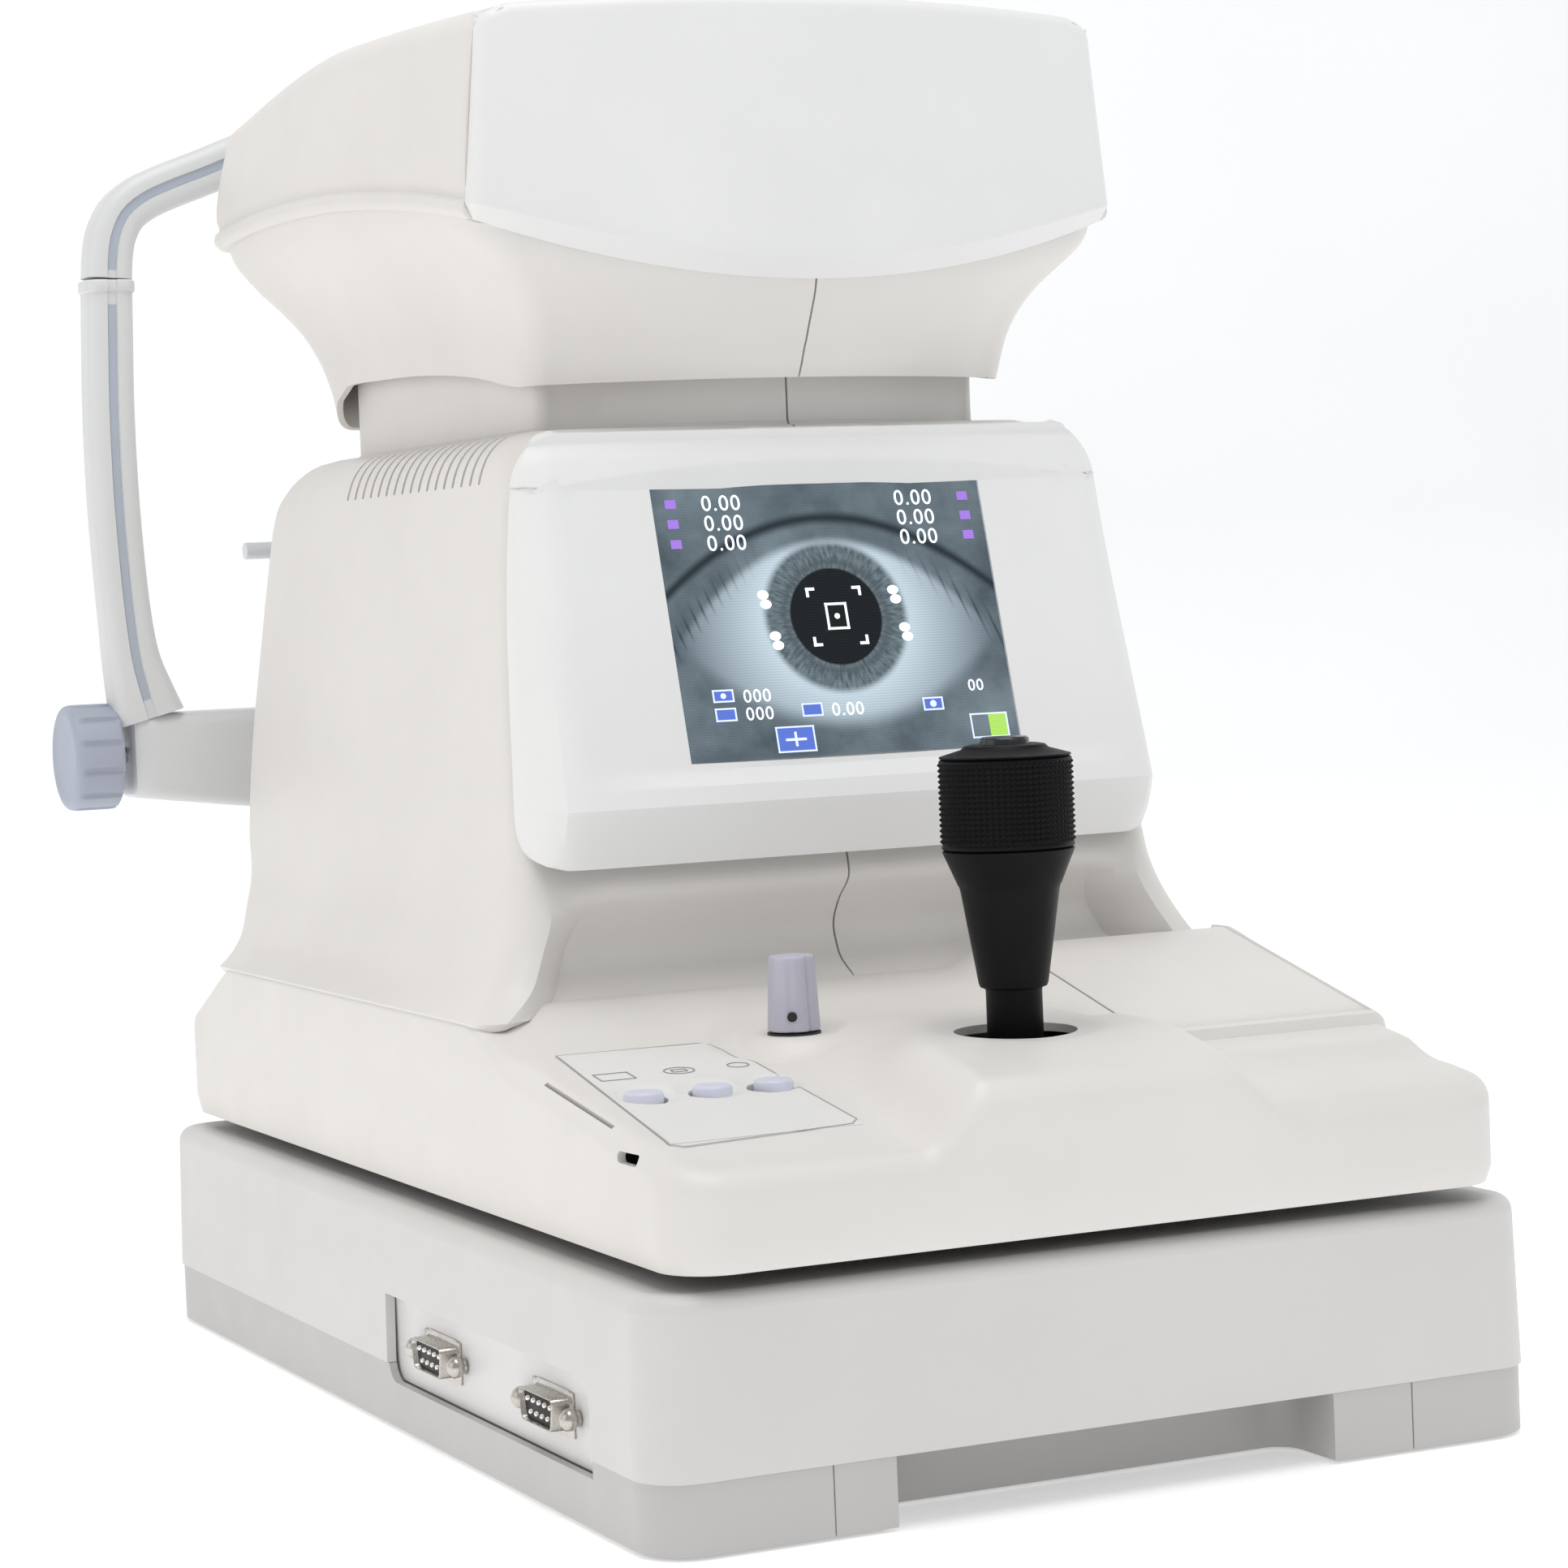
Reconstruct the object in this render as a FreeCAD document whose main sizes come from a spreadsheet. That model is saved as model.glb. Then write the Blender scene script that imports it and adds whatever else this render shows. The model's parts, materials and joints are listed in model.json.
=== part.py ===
import FreeCAD, Part
import math
import os
import re
from FreeCAD import Rotation, Vector

# Autorefractor: a base, a cross slide, a stage with a joystick, and a head that rises.
# +X is the operator's right, +Y points from the operator to the patient, +Z is up.
# The origin is the centre of the four table screws, on the table.

# Driving sizes in millimetres, by alias in the sheet.
SIZES = {
    # base
    "base_half_width": 139.85, "base_half_depth": 224.25, "base_corner": 15,
    "skirt_bottom": 1.0, "split_height": 20.4, "base_top": 69.7, "wall": 3,
    "base_opening_x": 88, "base_opening_y": 86, "notch_half": 69, "notch_depth": 26,
    "plate_bottom": 11, "plate_gauge": 3, "foot_radius": 14, "foot_x": 112, "foot_y": 180,
    "table_hole": 3.3, "seam_left": -88, "seam_right": 95,
    # serial ports and mains inlet
    "port_recess": 3.4, "port_low": 15, "port_high": 42, "port_front": -180, "port_back": -13,
    "port_height": 28.5, "port_one": -145, "port_two": -55, "port_width": 26, "port_tall": 9.5, "port_stand": 6,
    "screw_offset": 18.5, "inlet_y": 158, "switch_y": 118, "mains_height": 46,
    # slides
    "rail_radius": 6, "running_gap": 0.05, "y_rail_x": 70, "y_rail_height": 34, "y_rail_half": 112,
    "x_rail_y": 48, "x_rail_height": 63.4, "x_rail_half": 84, "bearing": 24, "y_bearing_y": 52,
    "x_bearing_x": 16, "carriage_low": 45.5, "carriage_gauge": 5.5,
    # stage
    "stage_low": 74.8, "stage_gauge": 3, "stage_half_x": 125, "stage_half_y": 208,
    "tray_low": 74.45, "tray_half": 131, "tray_front": -226, "tray_back": 226, "seam_height": 129.6,
    "joystick_y": -171, "pivot_height": 92, "deck_hole": 17.8, "hump_left": -36, "hump_right": 48.4,
    "knob_x": -42, "knob_y": -111, "knob_bottom": 123.5, "knob_height": 22.2,
    "key_y": -152, "key_one": -108, "key_two": -87, "key_three": -68,
    "lid_left": 49, "lid_right": 128, "lid_hinge_y": -77, "lid_hinge_height": 135.7,
    "roll_radius": 19, "roll_width": 57, "roll_x": 88.5, "roll_y": -112, "roll_height": 99.5,
    "platen_radius": 5, "platen_y": -143, "platen_height": 109,
    # monitor
    "screen_width": 115.2, "screen_height": 86.4, "screen_y": -64, "screen_z": 244.6,
    "screen_tilt": 15.75,
    # lift and head
    "guide_x": 45, "guide_y": 60, "guide_radius": 6, "guide_top": 338, "screw_radius": 6,
    "column_top": 305.7, "collar_top": 337, "collar_half": 77,
    "axis_height": 380, "window_radius": 32, "bench_low": 348, "head_top": 441,
    # face rest
    "rest_y": 252, "bar_front": 244, "bar_back": 272, "bar_low": 178, "bar_high": 220,
    "bar_half": 139, "joint_height": 377, "tube": 17, "rack_y": 271, "rack_radius": 7,
    "gear_y": 257, "gear_height": 203, "gear_module": 1, "gear_teeth": 16,
    "chin_knob_radius": 19.5, "chin_knob_length": 18, "chin_height": 277,
}

doc = FreeCAD.newDocument("Autorefractor")
sheet = doc.addObject("Spreadsheet::Sheet", "Sizes")
for row, (alias, number) in enumerate(SIZES.items(), start=1):
    sheet.set(f"A{row}", alias)
    sheet.set(f"B{row}", str(number))
    sheet.setAlias(f"B{row}", alias)
doc.recompute()

SUB_PARTS = []
AXIS_TURN = {
    "X": Rotation(Vector(0, 1, 0), 90),
    "Y": Rotation(Vector(1, 0, 0), -90),
    "Z": Rotation(),
}


# ---------------------------------------------------------------- helpers

def val(alias):
    """A size from the sheet."""
    return float(sheet.get(alias))


def formula(text):
    """An expression in which each alias is a cell of the sheet."""
    def cell(match):
        word = match.group()
        return f"Sizes.{word}" if word in SIZES else word
    return re.sub(r"[a-z][a-z_]*", cell, str(text))


def bind(thing, **fields):
    """Bind properties of an object to the sheet."""
    for field, text in fields.items():
        thing.setExpression(field, formula(text))
    return thing


def place(thing, at, turn=None):
    """Turn an object, and bind its position to the sheet."""
    thing.Placement = FreeCAD.Placement(Vector(), turn or Rotation())
    for letter, text in zip("xyz", at):
        thing.setExpression(f"Placement.Base.{letter}", formula(text))
    return thing


def sub_part(thing, node):
    """Name a finished sub-part."""
    thing.Label = node
    SUB_PARTS.append(thing)
    return thing


def box(length, width, height, at, turn=None):
    """A box from its low corner."""
    return place(bind(doc.addObject("Part::Box", "Block"), Length=length, Width=width,
                      Height=height), at, turn)


def rod(radius, length, at, axis="Z"):
    """A cylinder from the middle of its low end."""
    return place(bind(doc.addObject("Part::Cylinder", "Rod"), Radius=radius, Height=length),
                 at, AXIS_TURN[axis])


def cone(low_radius, high_radius, height, at, axis="Z"):
    """A cone from the middle of its low end."""
    thing = bind(doc.addObject("Part::Cone", "Taper"), Radius1=low_radius, Radius2=high_radius,
                 Height=height)
    return place(thing, at, AXIS_TURN[axis])


def fuse(pieces):
    """One solid from several."""
    thing = doc.addObject("Part::MultiFuse", "Union")
    thing.Shapes = pieces
    return thing


def cut(whole, pieces):
    """A solid less others."""
    thing = doc.addObject("Part::Cut", "Difference")
    thing.Base = whole
    thing.Tool = pieces[0] if len(pieces) == 1 else group(pieces)
    return thing


def group(pieces):
    """Separate solids in one object."""
    thing = doc.addObject("Part::Compound", "Set")
    thing.Links = pieces
    return thing


def shaped(node, shape):
    """A sub-part whose shape is worked out below from the sheet's sizes."""
    thing = doc.addObject("Part::Feature", "Shell")
    thing.Shape = shape
    thing.Placement = FreeCAD.Placement()
    return sub_part(thing, node)


def rounded_wire(half_x, front, back, radius, height):
    """A rounded rectangle in plan, as eight edges that start at the front."""
    left, right = -half_x, half_x
    corners = [(right - radius, front + radius, -90), (right - radius, back - radius, 0),
               (left + radius, back - radius, 90), (left + radius, front + radius, 180)]
    arcs = []
    for x, y, start in corners:
        points = []
        for angle in (start, start + 45, start + 90):
            turn = math.radians(angle)
            points.append(Vector(x + radius * math.cos(turn), y + radius * math.sin(turn), height))
        arcs.append(points)
    edges = []
    for first, following in zip(arcs, arcs[1:] + arcs[:1]):
        edges.append(Part.Arc(*first).toShape())
        edges.append(Part.LineSegment(first[2], following[0]).toShape())
    return Part.Wire(edges)


def stack(sections, inset=0.0):
    """A closed solid through plan sections of (height, half width, front, back, corner radius)."""
    wires = []
    for height, half_x, front, back, radius in sections:
        wires.append(rounded_wire(half_x - inset, front + inset, back - inset,
                                  max(radius - inset, 1.0), height))
    return Part.makeLoft(wires, True, True)


def side_profile(points, low_x, high_x):
    """A solid with an outline in the YZ plane, from one x to another."""
    corners = [Vector(low_x, y, z) for y, z in points]
    face = Part.Face(Part.makePolygon(corners + corners[:1]))
    return face.extrude(Vector(high_x - low_x, 0, 0))


def block(low, high):
    """A plain box between two corners."""
    return Part.makeBox(*(b - a for a, b in zip(low, high)), Vector(*low))


def prism(radius, low, high, centre, axis):
    """A cylinder along a row axis from one coordinate to another."""
    point = list(centre)
    index = "XYZ".index(axis)
    point.insert(index, low)
    direction = Vector(*(1.0 if i == index else 0.0 for i in range(3)))
    return Part.makeCylinder(radius, high - low, Vector(*point), direction)


def half(shape, side, gap=0.2):
    """The left (-1) or right (+1) half of a shell that is split along its middle."""
    reach = 400
    low = (gap if side > 0 else -reach, -reach, -reach)
    high = (reach if side > 0 else -gap, reach, 2 * reach)
    return shape.common(block(low, high))


def largest(shape):
    """The main solid of a cut shape, without the slivers beside it."""
    return max(shape.Solids, key=lambda solid: solid.Volume)


# ---------------------------------------------------------------- base

def base_outline(inset, height):
    half_x = val("base_half_width") - inset
    half_y = val("base_half_depth") - inset
    return height, half_x, -half_y, half_y, val("base_corner")


def port_window(x, depth):
    """The window for the serial ports, rounded at two opposite corners."""
    window = block((x, val("port_front"), val("port_low")),
                   (x + depth, val("port_back"), val("port_high")))
    corners = [(val("port_front"), val("port_high")), (val("port_back"), val("port_low"))]
    edges = [edge for edge in window.Edges for y, z in corners
             if abs(edge.CenterOfMass.y - y) < 1e-6 and abs(edge.CenterOfMass.z - z) < 1e-6]
    return window.makeFillet(7, edges)


def make_base_housing():
    """The upper housing: a moulded box, open below, with the slide opening in its roof."""
    low, top, wall = val("split_height"), val("base_top"), val("wall")
    shell = stack([base_outline(0, low), base_outline(1.0, top)])
    rim = [edge for edge in shell.Edges if abs(edge.BoundBox.ZMin - top) < 1e-6]
    shell = shell.makeFillet(5, rim)
    hollow = stack([base_outline(wall, low - 1), base_outline(wall + 1, top - wall)])
    x, y = val("base_opening_x"), val("base_opening_y")
    side = val("base_half_width")
    cuts = [
        block((-x, -y, top - 2 * wall), (x, y, top + 1)),
        port_window(-side - 1, wall + 2),
        block((side - wall - 2, val("inlet_y") - 15, val("mains_height") - 11),
              (side + 1, val("inlet_y") + 15, val("mains_height") + 11)),
        block((side - wall - 2, val("switch_y") - 10.8, val("mains_height") - 9.3),
              (side + 1, val("switch_y") + 10.8, val("mains_height") + 9.3)),
        block((-44, val("base_half_depth") - wall - 2, 21), (44, val("base_half_depth") + 1, 54)),
    ]
    shaped("base_housing", shell.cut([hollow] + cuts))


def skirt_plan(inset):
    """The skirt's outline in plan, with a notch in its front edge between the two feet."""
    height = val("skirt_bottom")
    half_x = val("base_half_width") - 0.6
    half_y = val("base_half_depth") - 0.6
    plan = Part.Face(rounded_wire(half_x, -half_y, half_y, val("base_corner"), height))
    notch = Part.Face(rounded_wire(val("notch_half"), -half_y - 20, -half_y + val("notch_depth"),
                                   8, height))
    plan = plan.cut(notch).Faces[0]
    return plan.makeOffset2D(-inset) if inset else plan


def make_base_skirt():
    """The lower skirt, which reaches the table at its corner feet."""
    tall = val("split_height") - val("skirt_bottom") - 0.2
    ring = skirt_plan(0).cut(skirt_plan(2.5))
    skirt = ring.extrude(Vector(0, 0, tall))
    side = val("base_half_width")
    recess = port_window(-side - 1, 6)
    seams = [block((x, -val("base_half_depth"), 0), (x + 0.5, -val("base_half_depth") + 1.2, 30))
             for x in (val("seam_left"), val("seam_right"))]
    back = block((-44, val("base_half_depth") - 6, 13), (44, val("base_half_depth") + 1, 22))
    shaped("base_skirt", skirt.cut([recess, back] + seams))


def sketch_on(body, role, name):
    """A sketch on one of a body's own origin planes."""
    plane = next(p for p in body.Origin.OriginFeatures if p.Role == role)
    sketch = body.newObject("Sketcher::SketchObject", name)
    sketch.AttachmentSupport = [(plane, "")]
    sketch.MapMode = "FlatFace"
    return sketch


def dimension(sketch, kind, geometry, drawn, name, text):
    """A named sketch dimension, drawn at one size and then bound to the sheet."""
    import Sketcher
    index = sketch.addConstraint(Sketcher.Constraint(kind, *geometry, drawn))
    sketch.renameConstraint(index, name)
    sketch.setExpression(f"Constraints.{name}", formula(text))


def add_rectangle(sketch, wide, deep):
    """A rectangle about the sketch's origin, with both dimensions bound."""
    import Sketcher
    drawn = 50
    corners = [(-drawn, -drawn), (drawn, -drawn), (drawn, drawn), (-drawn, drawn)]
    first = sketch.GeometryCount
    for (a, b), (c, d) in zip(corners, corners[1:] + corners[:1]):
        sketch.addGeometry(Part.LineSegment(Vector(a, b, 0), Vector(c, d, 0)))
    for i in range(4):
        sketch.addConstraint(Sketcher.Constraint("Coincident", first + i, 2, first + (i + 1) % 4, 1))
    for i, kind in enumerate(["Horizontal", "Vertical", "Horizontal", "Vertical"]):
        sketch.addConstraint(Sketcher.Constraint(kind, first + i))
    sketch.addConstraint(Sketcher.Constraint("Symmetric", first, 1, first + 1, 2, -1, 1))
    dimension(sketch, "DistanceX", (first, 1, first, 2), 2 * drawn, "wide", wide)
    dimension(sketch, "DistanceY", (first + 1, 1, first + 1, 2), 2 * drawn, "deep", deep)


def add_circle(sketch, drawn, radius, name):
    """A circle about the sketch's origin, with its radius bound."""
    import Sketcher
    index = sketch.addGeometry(Part.Circle(Vector(), Vector(0, 0, 1), drawn))
    sketch.addConstraint(Sketcher.Constraint("Coincident", index, 3, -1, 1))
    dimension(sketch, "Radius", (index,), drawn, name, radius)


def pad(body, sketch, length):
    """A pad whose length is bound."""
    feature = body.newObject("PartDesign::Pad", "Pad")
    feature.Profile = sketch
    bind(feature, Length=length)
    return feature


def plate_body(wide, deep, gauge, at):
    """A flat plate with its middle at a point."""
    body = doc.addObject("PartDesign::Body", "Plate")
    sketch = sketch_on(body, "XY_Plane", "Outline")
    add_rectangle(sketch, wide, deep)
    pad(body, sketch, gauge)
    return place(body, at)


def ring_body(outer, inner, length, at, turn=None):
    """A ring or a bush: a disc with a round hole."""
    body = doc.addObject("PartDesign::Body", "Ring")
    sketch = sketch_on(body, "XY_Plane", "Outline")
    add_circle(sketch, 10, outer, "outer")
    add_circle(sketch, 5, inner, "inner")
    pad(body, sketch, length)
    return place(body, at, turn)


def make_base_plate():
    """The steel base plate, with upright lugs that hold the two fore-and-aft shafts."""
    plate = plate_body("2 * (base_half_width - 6)", "2 * foot_y + 28", "plate_gauge",
                       (0, 0, "plate_bottom"))
    lugs = []
    holes = []
    for x in ("-y_rail_x", "y_rail_x"):
        for y in ("-y_rail_half", "y_rail_half - 12"):
            lugs.append(box(24, 12, "y_rail_height + 10 - plate_bottom",
                            (f"{x} - 12", y, "plate_bottom")))
        holes.append(rod("rail_radius", "2 * y_rail_half + 2", (x, "-y_rail_half - 1",
                                                                "y_rail_height"), "Y"))
    for x in ("-foot_x", "foot_x"):
        for y in ("-foot_y", "foot_y"):
            holes.append(rod("table_hole", 20, (x, y, 5)))
    sub_part(cut(fuse([plate] + lugs), holes), "base_plate")


def make_rubber_feet():
    """Four rubber feet, each with a hole for a table screw."""
    feet = []
    for x in ("-foot_x", "foot_x"):
        for y in ("-foot_y", "foot_y"):
            feet.append(ring_body("foot_radius", "table_hole", "plate_bottom", (x, y, 0)))
    sub_part(group(feet), "rubber_feet")


def port_profile(shrink, x, y, z, length):
    """A D-shaped bar along X, wider at the top, as a port's outline made smaller by an amount."""
    width, tall = val("port_width") - shrink, val("port_tall") - shrink
    slant = tall * 0.18
    corners = [(-width / 2, tall / 2), (width / 2, tall / 2),
               (width / 2 - slant, -tall / 2), (-width / 2 + slant, -tall / 2)]
    points = [Vector(x, y + a, z + b) for a, b in corners]
    solid = Part.Face(Part.makePolygon(points + points[:1])).extrude(Vector(length, 0, 0))
    along = [edge for edge in solid.Edges if abs(edge.tangentAt(0).x) > 0.99]
    return solid.makeFillet(2.2, along)


def panel_face():
    """The x of the connector panel's outer face."""
    return -val("base_half_width") + val("port_recess") + 0.6


def ports():
    """The middle of each serial port, on the panel's face."""
    return [(val("port_one"), val("port_height")), (val("port_two"), val("port_height"))]


def make_connector_panel():
    """The recessed panel behind the left wall's window."""
    face = panel_face()
    panel = block((face, val("port_front") - 4, val("port_low") + 0.2),
                  (face + 2, val("port_back") + 4, val("port_high") + 4))
    holes = []
    for y, z in ports():
        holes.append(port_profile(-0.6, face - 2, y, z, 6))
        for side in (-1, 1):
            holes.append(prism(1.6, face - 1, face + 3, (y + side * val("screw_offset"), z), "X"))
    shaped("connector_panel", panel.cut(holes))


def make_connector_shells():
    """The plated metal of the ports: two D-shaped shells with flanges, and four jack screws."""
    face, stand = panel_face(), val("port_stand")
    shells = []
    for y, z in ports():
        tube = port_profile(0, face - stand, y, z, stand + 3)
        flange = block((face + 2.05, y - 16, z - 6.3), (face + 3, y + 16, z + 6.3))
        shells.append(tube.fuse(flange).cut(port_profile(1.2, face - stand - 1, y, z, stand + 5)))
        for side in (-1, 1):
            spot = Vector(face - 4.3, y + side * val("screw_offset"), z)
            head = Part.makeCone(1.9, 2.7, 4.2, spot, Vector(1, 0, 0))
            shank = Part.makeCylinder(1.5, 4.5, spot + Vector(3.7, 0, 0), Vector(1, 0, 0))
            shells.append(head.fuse(shank))
    shaped("connector_shells", Part.makeCompound(shells))


def make_connector_inserts():
    """The black insulators that hold the pins."""
    back = panel_face() + 4
    inserts = [port_profile(1.4, back - 6, y, z, 6) for y, z in ports()]
    shaped("connector_inserts", Part.makeCompound(inserts))


def make_power_inlet():
    """The mains module on the right side: the inlet with its three pins, and the switch frame."""
    flange = box(1.5, 36, 26, ("base_half_width - 0.2", "inlet_y - 18", "mains_height - 13"))
    barrel = box(22, 29, 21, ("base_half_width - 20", "inlet_y - 14.5", "mains_height - 10.5"))
    socket = box(17, 24, 16, ("base_half_width - 15", "inlet_y - 12", "mains_height - 8"))
    pins = []
    for offset, lift in ((-7, -2), (0, 2), (7, -2)):
        pins.append(box(14, 2, 4, ("base_half_width - 15.5", f"inlet_y + {offset} - 1",
                                   f"mains_height + {lift} - 2")))
    frame = box(1.5, 27, 22, ("base_half_width - 0.2", "switch_y - 13.5", "mains_height - 11"))
    case = box(20, 21, 18, ("base_half_width - 20", "switch_y - 10.5", "mains_height - 9"))
    bridge = box(1.5, 14, 22, ("base_half_width - 0.2", "switch_y + 13", "mains_height - 11"))
    bay = box(17, 20.4, 12.6, ("base_half_width - 14", "switch_y - 10.2", "mains_height - 6.3"))
    pivot = rod(1.25, 20, ("base_half_width - 3", "switch_y", "mains_height - 10"))
    module = cut(fuse([flange, barrel, frame, case, bridge]), [socket, bay, pivot])
    sub_part(fuse([module] + pins), "power_inlet")


def make_power_switch():
    """The rocker of the mains switch, on an upright pin."""
    rocker = box(12, 18, 12, ("base_half_width - 9", "switch_y - 9", "mains_height - 6"))
    pin = rod(1.2, 16, ("base_half_width - 3", "switch_y", "mains_height - 8"))
    sub_part(fuse([rocker, pin]), "power_switch")


def make_power_supply():
    """The power supply: a board with a transformer, a heat sink and capacitors."""
    board = box(110, 60, 1.6, (-55, 130, 18))
    posts = [rod(3, 4.2, (x, y, "plate_bottom + plate_gauge")) for x in (-50, 50) for y in (134, 186)]
    core = box(34, 30, 26, (-45, 145, 19.5))
    sink = box(6, 42, 22, (0, 135, 19.5))
    cans = [rod(7, 24, (x, 150, 19.5)) for x in (20, 38)]
    sub_part(fuse([board] + posts + [core, sink] + cans), "power_supply")


def make_y_rails():
    """The two fixed shafts that guide the cross slide."""
    rods = [rod("rail_radius", "2 * y_rail_half", (x, "-y_rail_half", "y_rail_height"), "Y")
            for x in ("-y_rail_x", "y_rail_x")]
    sub_part(group(rods), "y_rails")


def make_support_bracket():
    """The cast pillar behind the stage that carries the face rest."""
    foot = box(80, 78, 14, (-40, 184, 22))
    pillar = box(80, 16, "bar_low - 22", (-40, 246, 22))
    web = box(10, 40, 30, (-5, 208, 22))
    leg = box(70, 20, 8.2, (-35, 191, "plate_bottom + plate_gauge"))
    sub_part(fuse([foot, pillar, web, leg]), "support_bracket")


# ---------------------------------------------------------------- face rest

def make_crossbar():
    """The hollow-cast cross bar that joins the posts and houses the chin-rest gear."""
    front, back = val("bar_front"), val("bar_back")
    low, high, half_x = val("bar_low"), val("bar_high"), val("bar_half")
    outline = [(-half_x, 188), (-60, low), (60, low), (half_x, 188), (half_x, high - 2),
               (-half_x, high - 2)]
    points = [Vector(x, front, z) for x, z in outline]
    bar = Part.Face(Part.makePolygon(points + points[:1])).extrude(Vector(0, back - front, 0))
    bar = bar.makeFillet(5, [edge for edge in bar.Edges
                             if abs(edge.BoundBox.YMax - edge.BoundBox.YMin) < 1e-6])
    boss = prism(13.5, low, high + 4, (0, val("rack_y")), "Z")
    bore = prism(val("rack_radius") + 0.06, low - 1, high + 6, (0, val("rack_y")), "Z")
    gear_y, gear_z = val("gear_y"), val("gear_height")
    shaft = prism(3.05, -half_x - 5, 16, (gear_y, gear_z), "X")
    pocket = prism(10, -9, 9, (gear_y, gear_z), "X")
    shaped("crossbar", bar.fuse(boss).cut([bore, shaft, pocket]))


def tube_section(x, z, wide, deep, radius, along):
    """A rounded rectangle across a post of the face rest, square to a direction in XZ."""
    wire = rounded_wire(wide / 2, -deep / 2, deep / 2, radius, 0)
    turn = Rotation(Vector(0, 0, 1), along)
    wire.Placement = FreeCAD.Placement(Vector(x, val("rest_y"), z), turn)
    return wire


def make_post(side, node):
    """One lower post, which leans out a little as it rises."""
    foot, joint, tube = val("bar_high") - 2, val("joint_height"), val("tube")
    middle = 300
    stations = [(131, foot, tube + 4), (138, 250, tube + 1), (140.5, middle, tube),
                (140, joint - 2, tube)]
    wires = [tube_section(side * x, z, wide, tube, 5, Vector(0, 0, 1)) for x, z, wide in stations]
    post = Part.makeLoft(wires, True, True)
    collar = Part.makeLoft([tube_section(side * 140, z, tube + 1.6, tube + 1.6, 6, Vector(0, 0, 1))
                            for z in (joint - 2, joint)], True, True)
    shaped(node, post.fuse(collar))


def make_upper_bow():
    """The bow over the patient's forehead, swept along straight runs joined by arcs."""
    joint, y = val("joint_height") + 0.6, val("rest_y")
    corners = [(-140, joint), (-138.5, 407), (-62, 439), (62, 439), (138.5, 407), (140, joint)]
    radii = [0, 18, 110, 110, 18, 0]
    points = [Vector(x, y, z) for x, z in corners]
    edges = []
    start = points[0]
    for before, corner, after, radius in zip(points, points[1:], points[2:], radii[1:]):
        enter = (before - corner).normalize()
        leave = (after - corner).normalize()
        bend = enter.getAngle(leave)
        reach = radius / math.tan(bend / 2)
        first = corner + enter * reach
        last = corner + leave * reach
        middle = (enter + leave).normalize()
        peak = corner + middle * (radius / math.sin(bend / 2) - radius)
        edges.append(Part.LineSegment(start, first).toShape())
        edges.append(Part.Arc(first, peak, last).toShape())
        start = last
    edges.append(Part.LineSegment(start, points[-1]).toShape())
    profile = tube_section(-140, joint, val("tube"), val("tube"), 5,
                           points[1] - points[0])
    bow = Part.Wire(edges).makePipeShell([profile], True, False)
    shaped("upper_bow", bow)


def make_forehead_pad():
    """The soft pad on the patient's side of the bow, hollowed for the forehead."""
    near = val("rest_y") + val("tube") / 2 + 0.4
    pad_solid = block((-55, near, 424), (55, near + 14, 450))
    hollow = prism(150, 420, 455, (0, near + 14 + 145), "Z")
    pad_solid = pad_solid.cut(hollow)
    shaped("forehead_pad", pad_solid)


def involute_gear(module, teeth, thin):
    """The outline of a spur gear with 20 degree teeth, as points round the origin."""
    pitch = module * teeth / 2
    base = pitch * math.cos(math.radians(20))
    tip, root = pitch + module, pitch - 1.25 * module
    half_tooth = math.pi / (2 * teeth) - thin / pitch
    lean = math.tan(math.radians(20)) - math.radians(20)
    flank = []
    steps = 5
    for i in range(steps + 1):
        radius = max(base, root) + (tip - max(base, root)) * i / steps
        roll = math.sqrt(max((radius / base) ** 2 - 1, 0))
        flank.append((radius, half_tooth + lean - (roll - math.atan(roll))))
    points = []
    for tooth in range(teeth):
        middle = 2 * math.pi * tooth / teeth
        rising = [(root, -flank[0][1])] + [(r, -a) for r, a in flank]
        for radius, angle in rising + [(r, -a) for r, a in reversed(rising)]:
            points.append((radius * math.cos(middle + angle), radius * math.sin(middle + angle)))
    return points


def make_chin_shaft():
    """The knob's shaft and its pinion, one turned and hobbed piece."""
    gear_y, gear_z = val("gear_y"), val("gear_height")
    shaft = prism(3, -val("bar_half") - 16, 14, (gear_y, gear_z), "X")
    outline = involute_gear(val("gear_module"), int(val("gear_teeth")), 0.08)
    points = [Vector(-7, gear_y + a, gear_z + b) for a, b in outline]
    pinion = Part.Face(Part.makePolygon(points + points[:1])).extrude(Vector(14, 0, 0))
    shaped("chin_shaft", shaft.fuse(pinion).removeSplitter())


def make_chin_knob():
    """The fluted height knob at the left end of the cross bar."""
    radius, length = val("chin_knob_radius"), val("chin_knob_length")
    gear_y, gear_z = val("gear_y"), val("gear_height")
    low = -val("bar_half") - 5 - length
    knob = prism(radius, low, low + length, (gear_y, gear_z), "X")
    knob = knob.makeFillet(3, [edge for edge in knob.Edges
                               if abs(edge.BoundBox.XMax - low) < 1e-6])
    flutes = []
    for i in range(12):
        turn = math.radians(30 * i)
        flutes.append(prism(2.4, low + 3.5, low + length - 3.5,
                            (gear_y + (radius + 1.2) * math.cos(turn),
                             gear_z + (radius + 1.2) * math.sin(turn)), "X"))
    bore = prism(3, low + 7, low + length + 1, (gear_y, gear_z), "X")
    shaped("chin_knob", knob.cut(flutes + [bore]))


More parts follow.
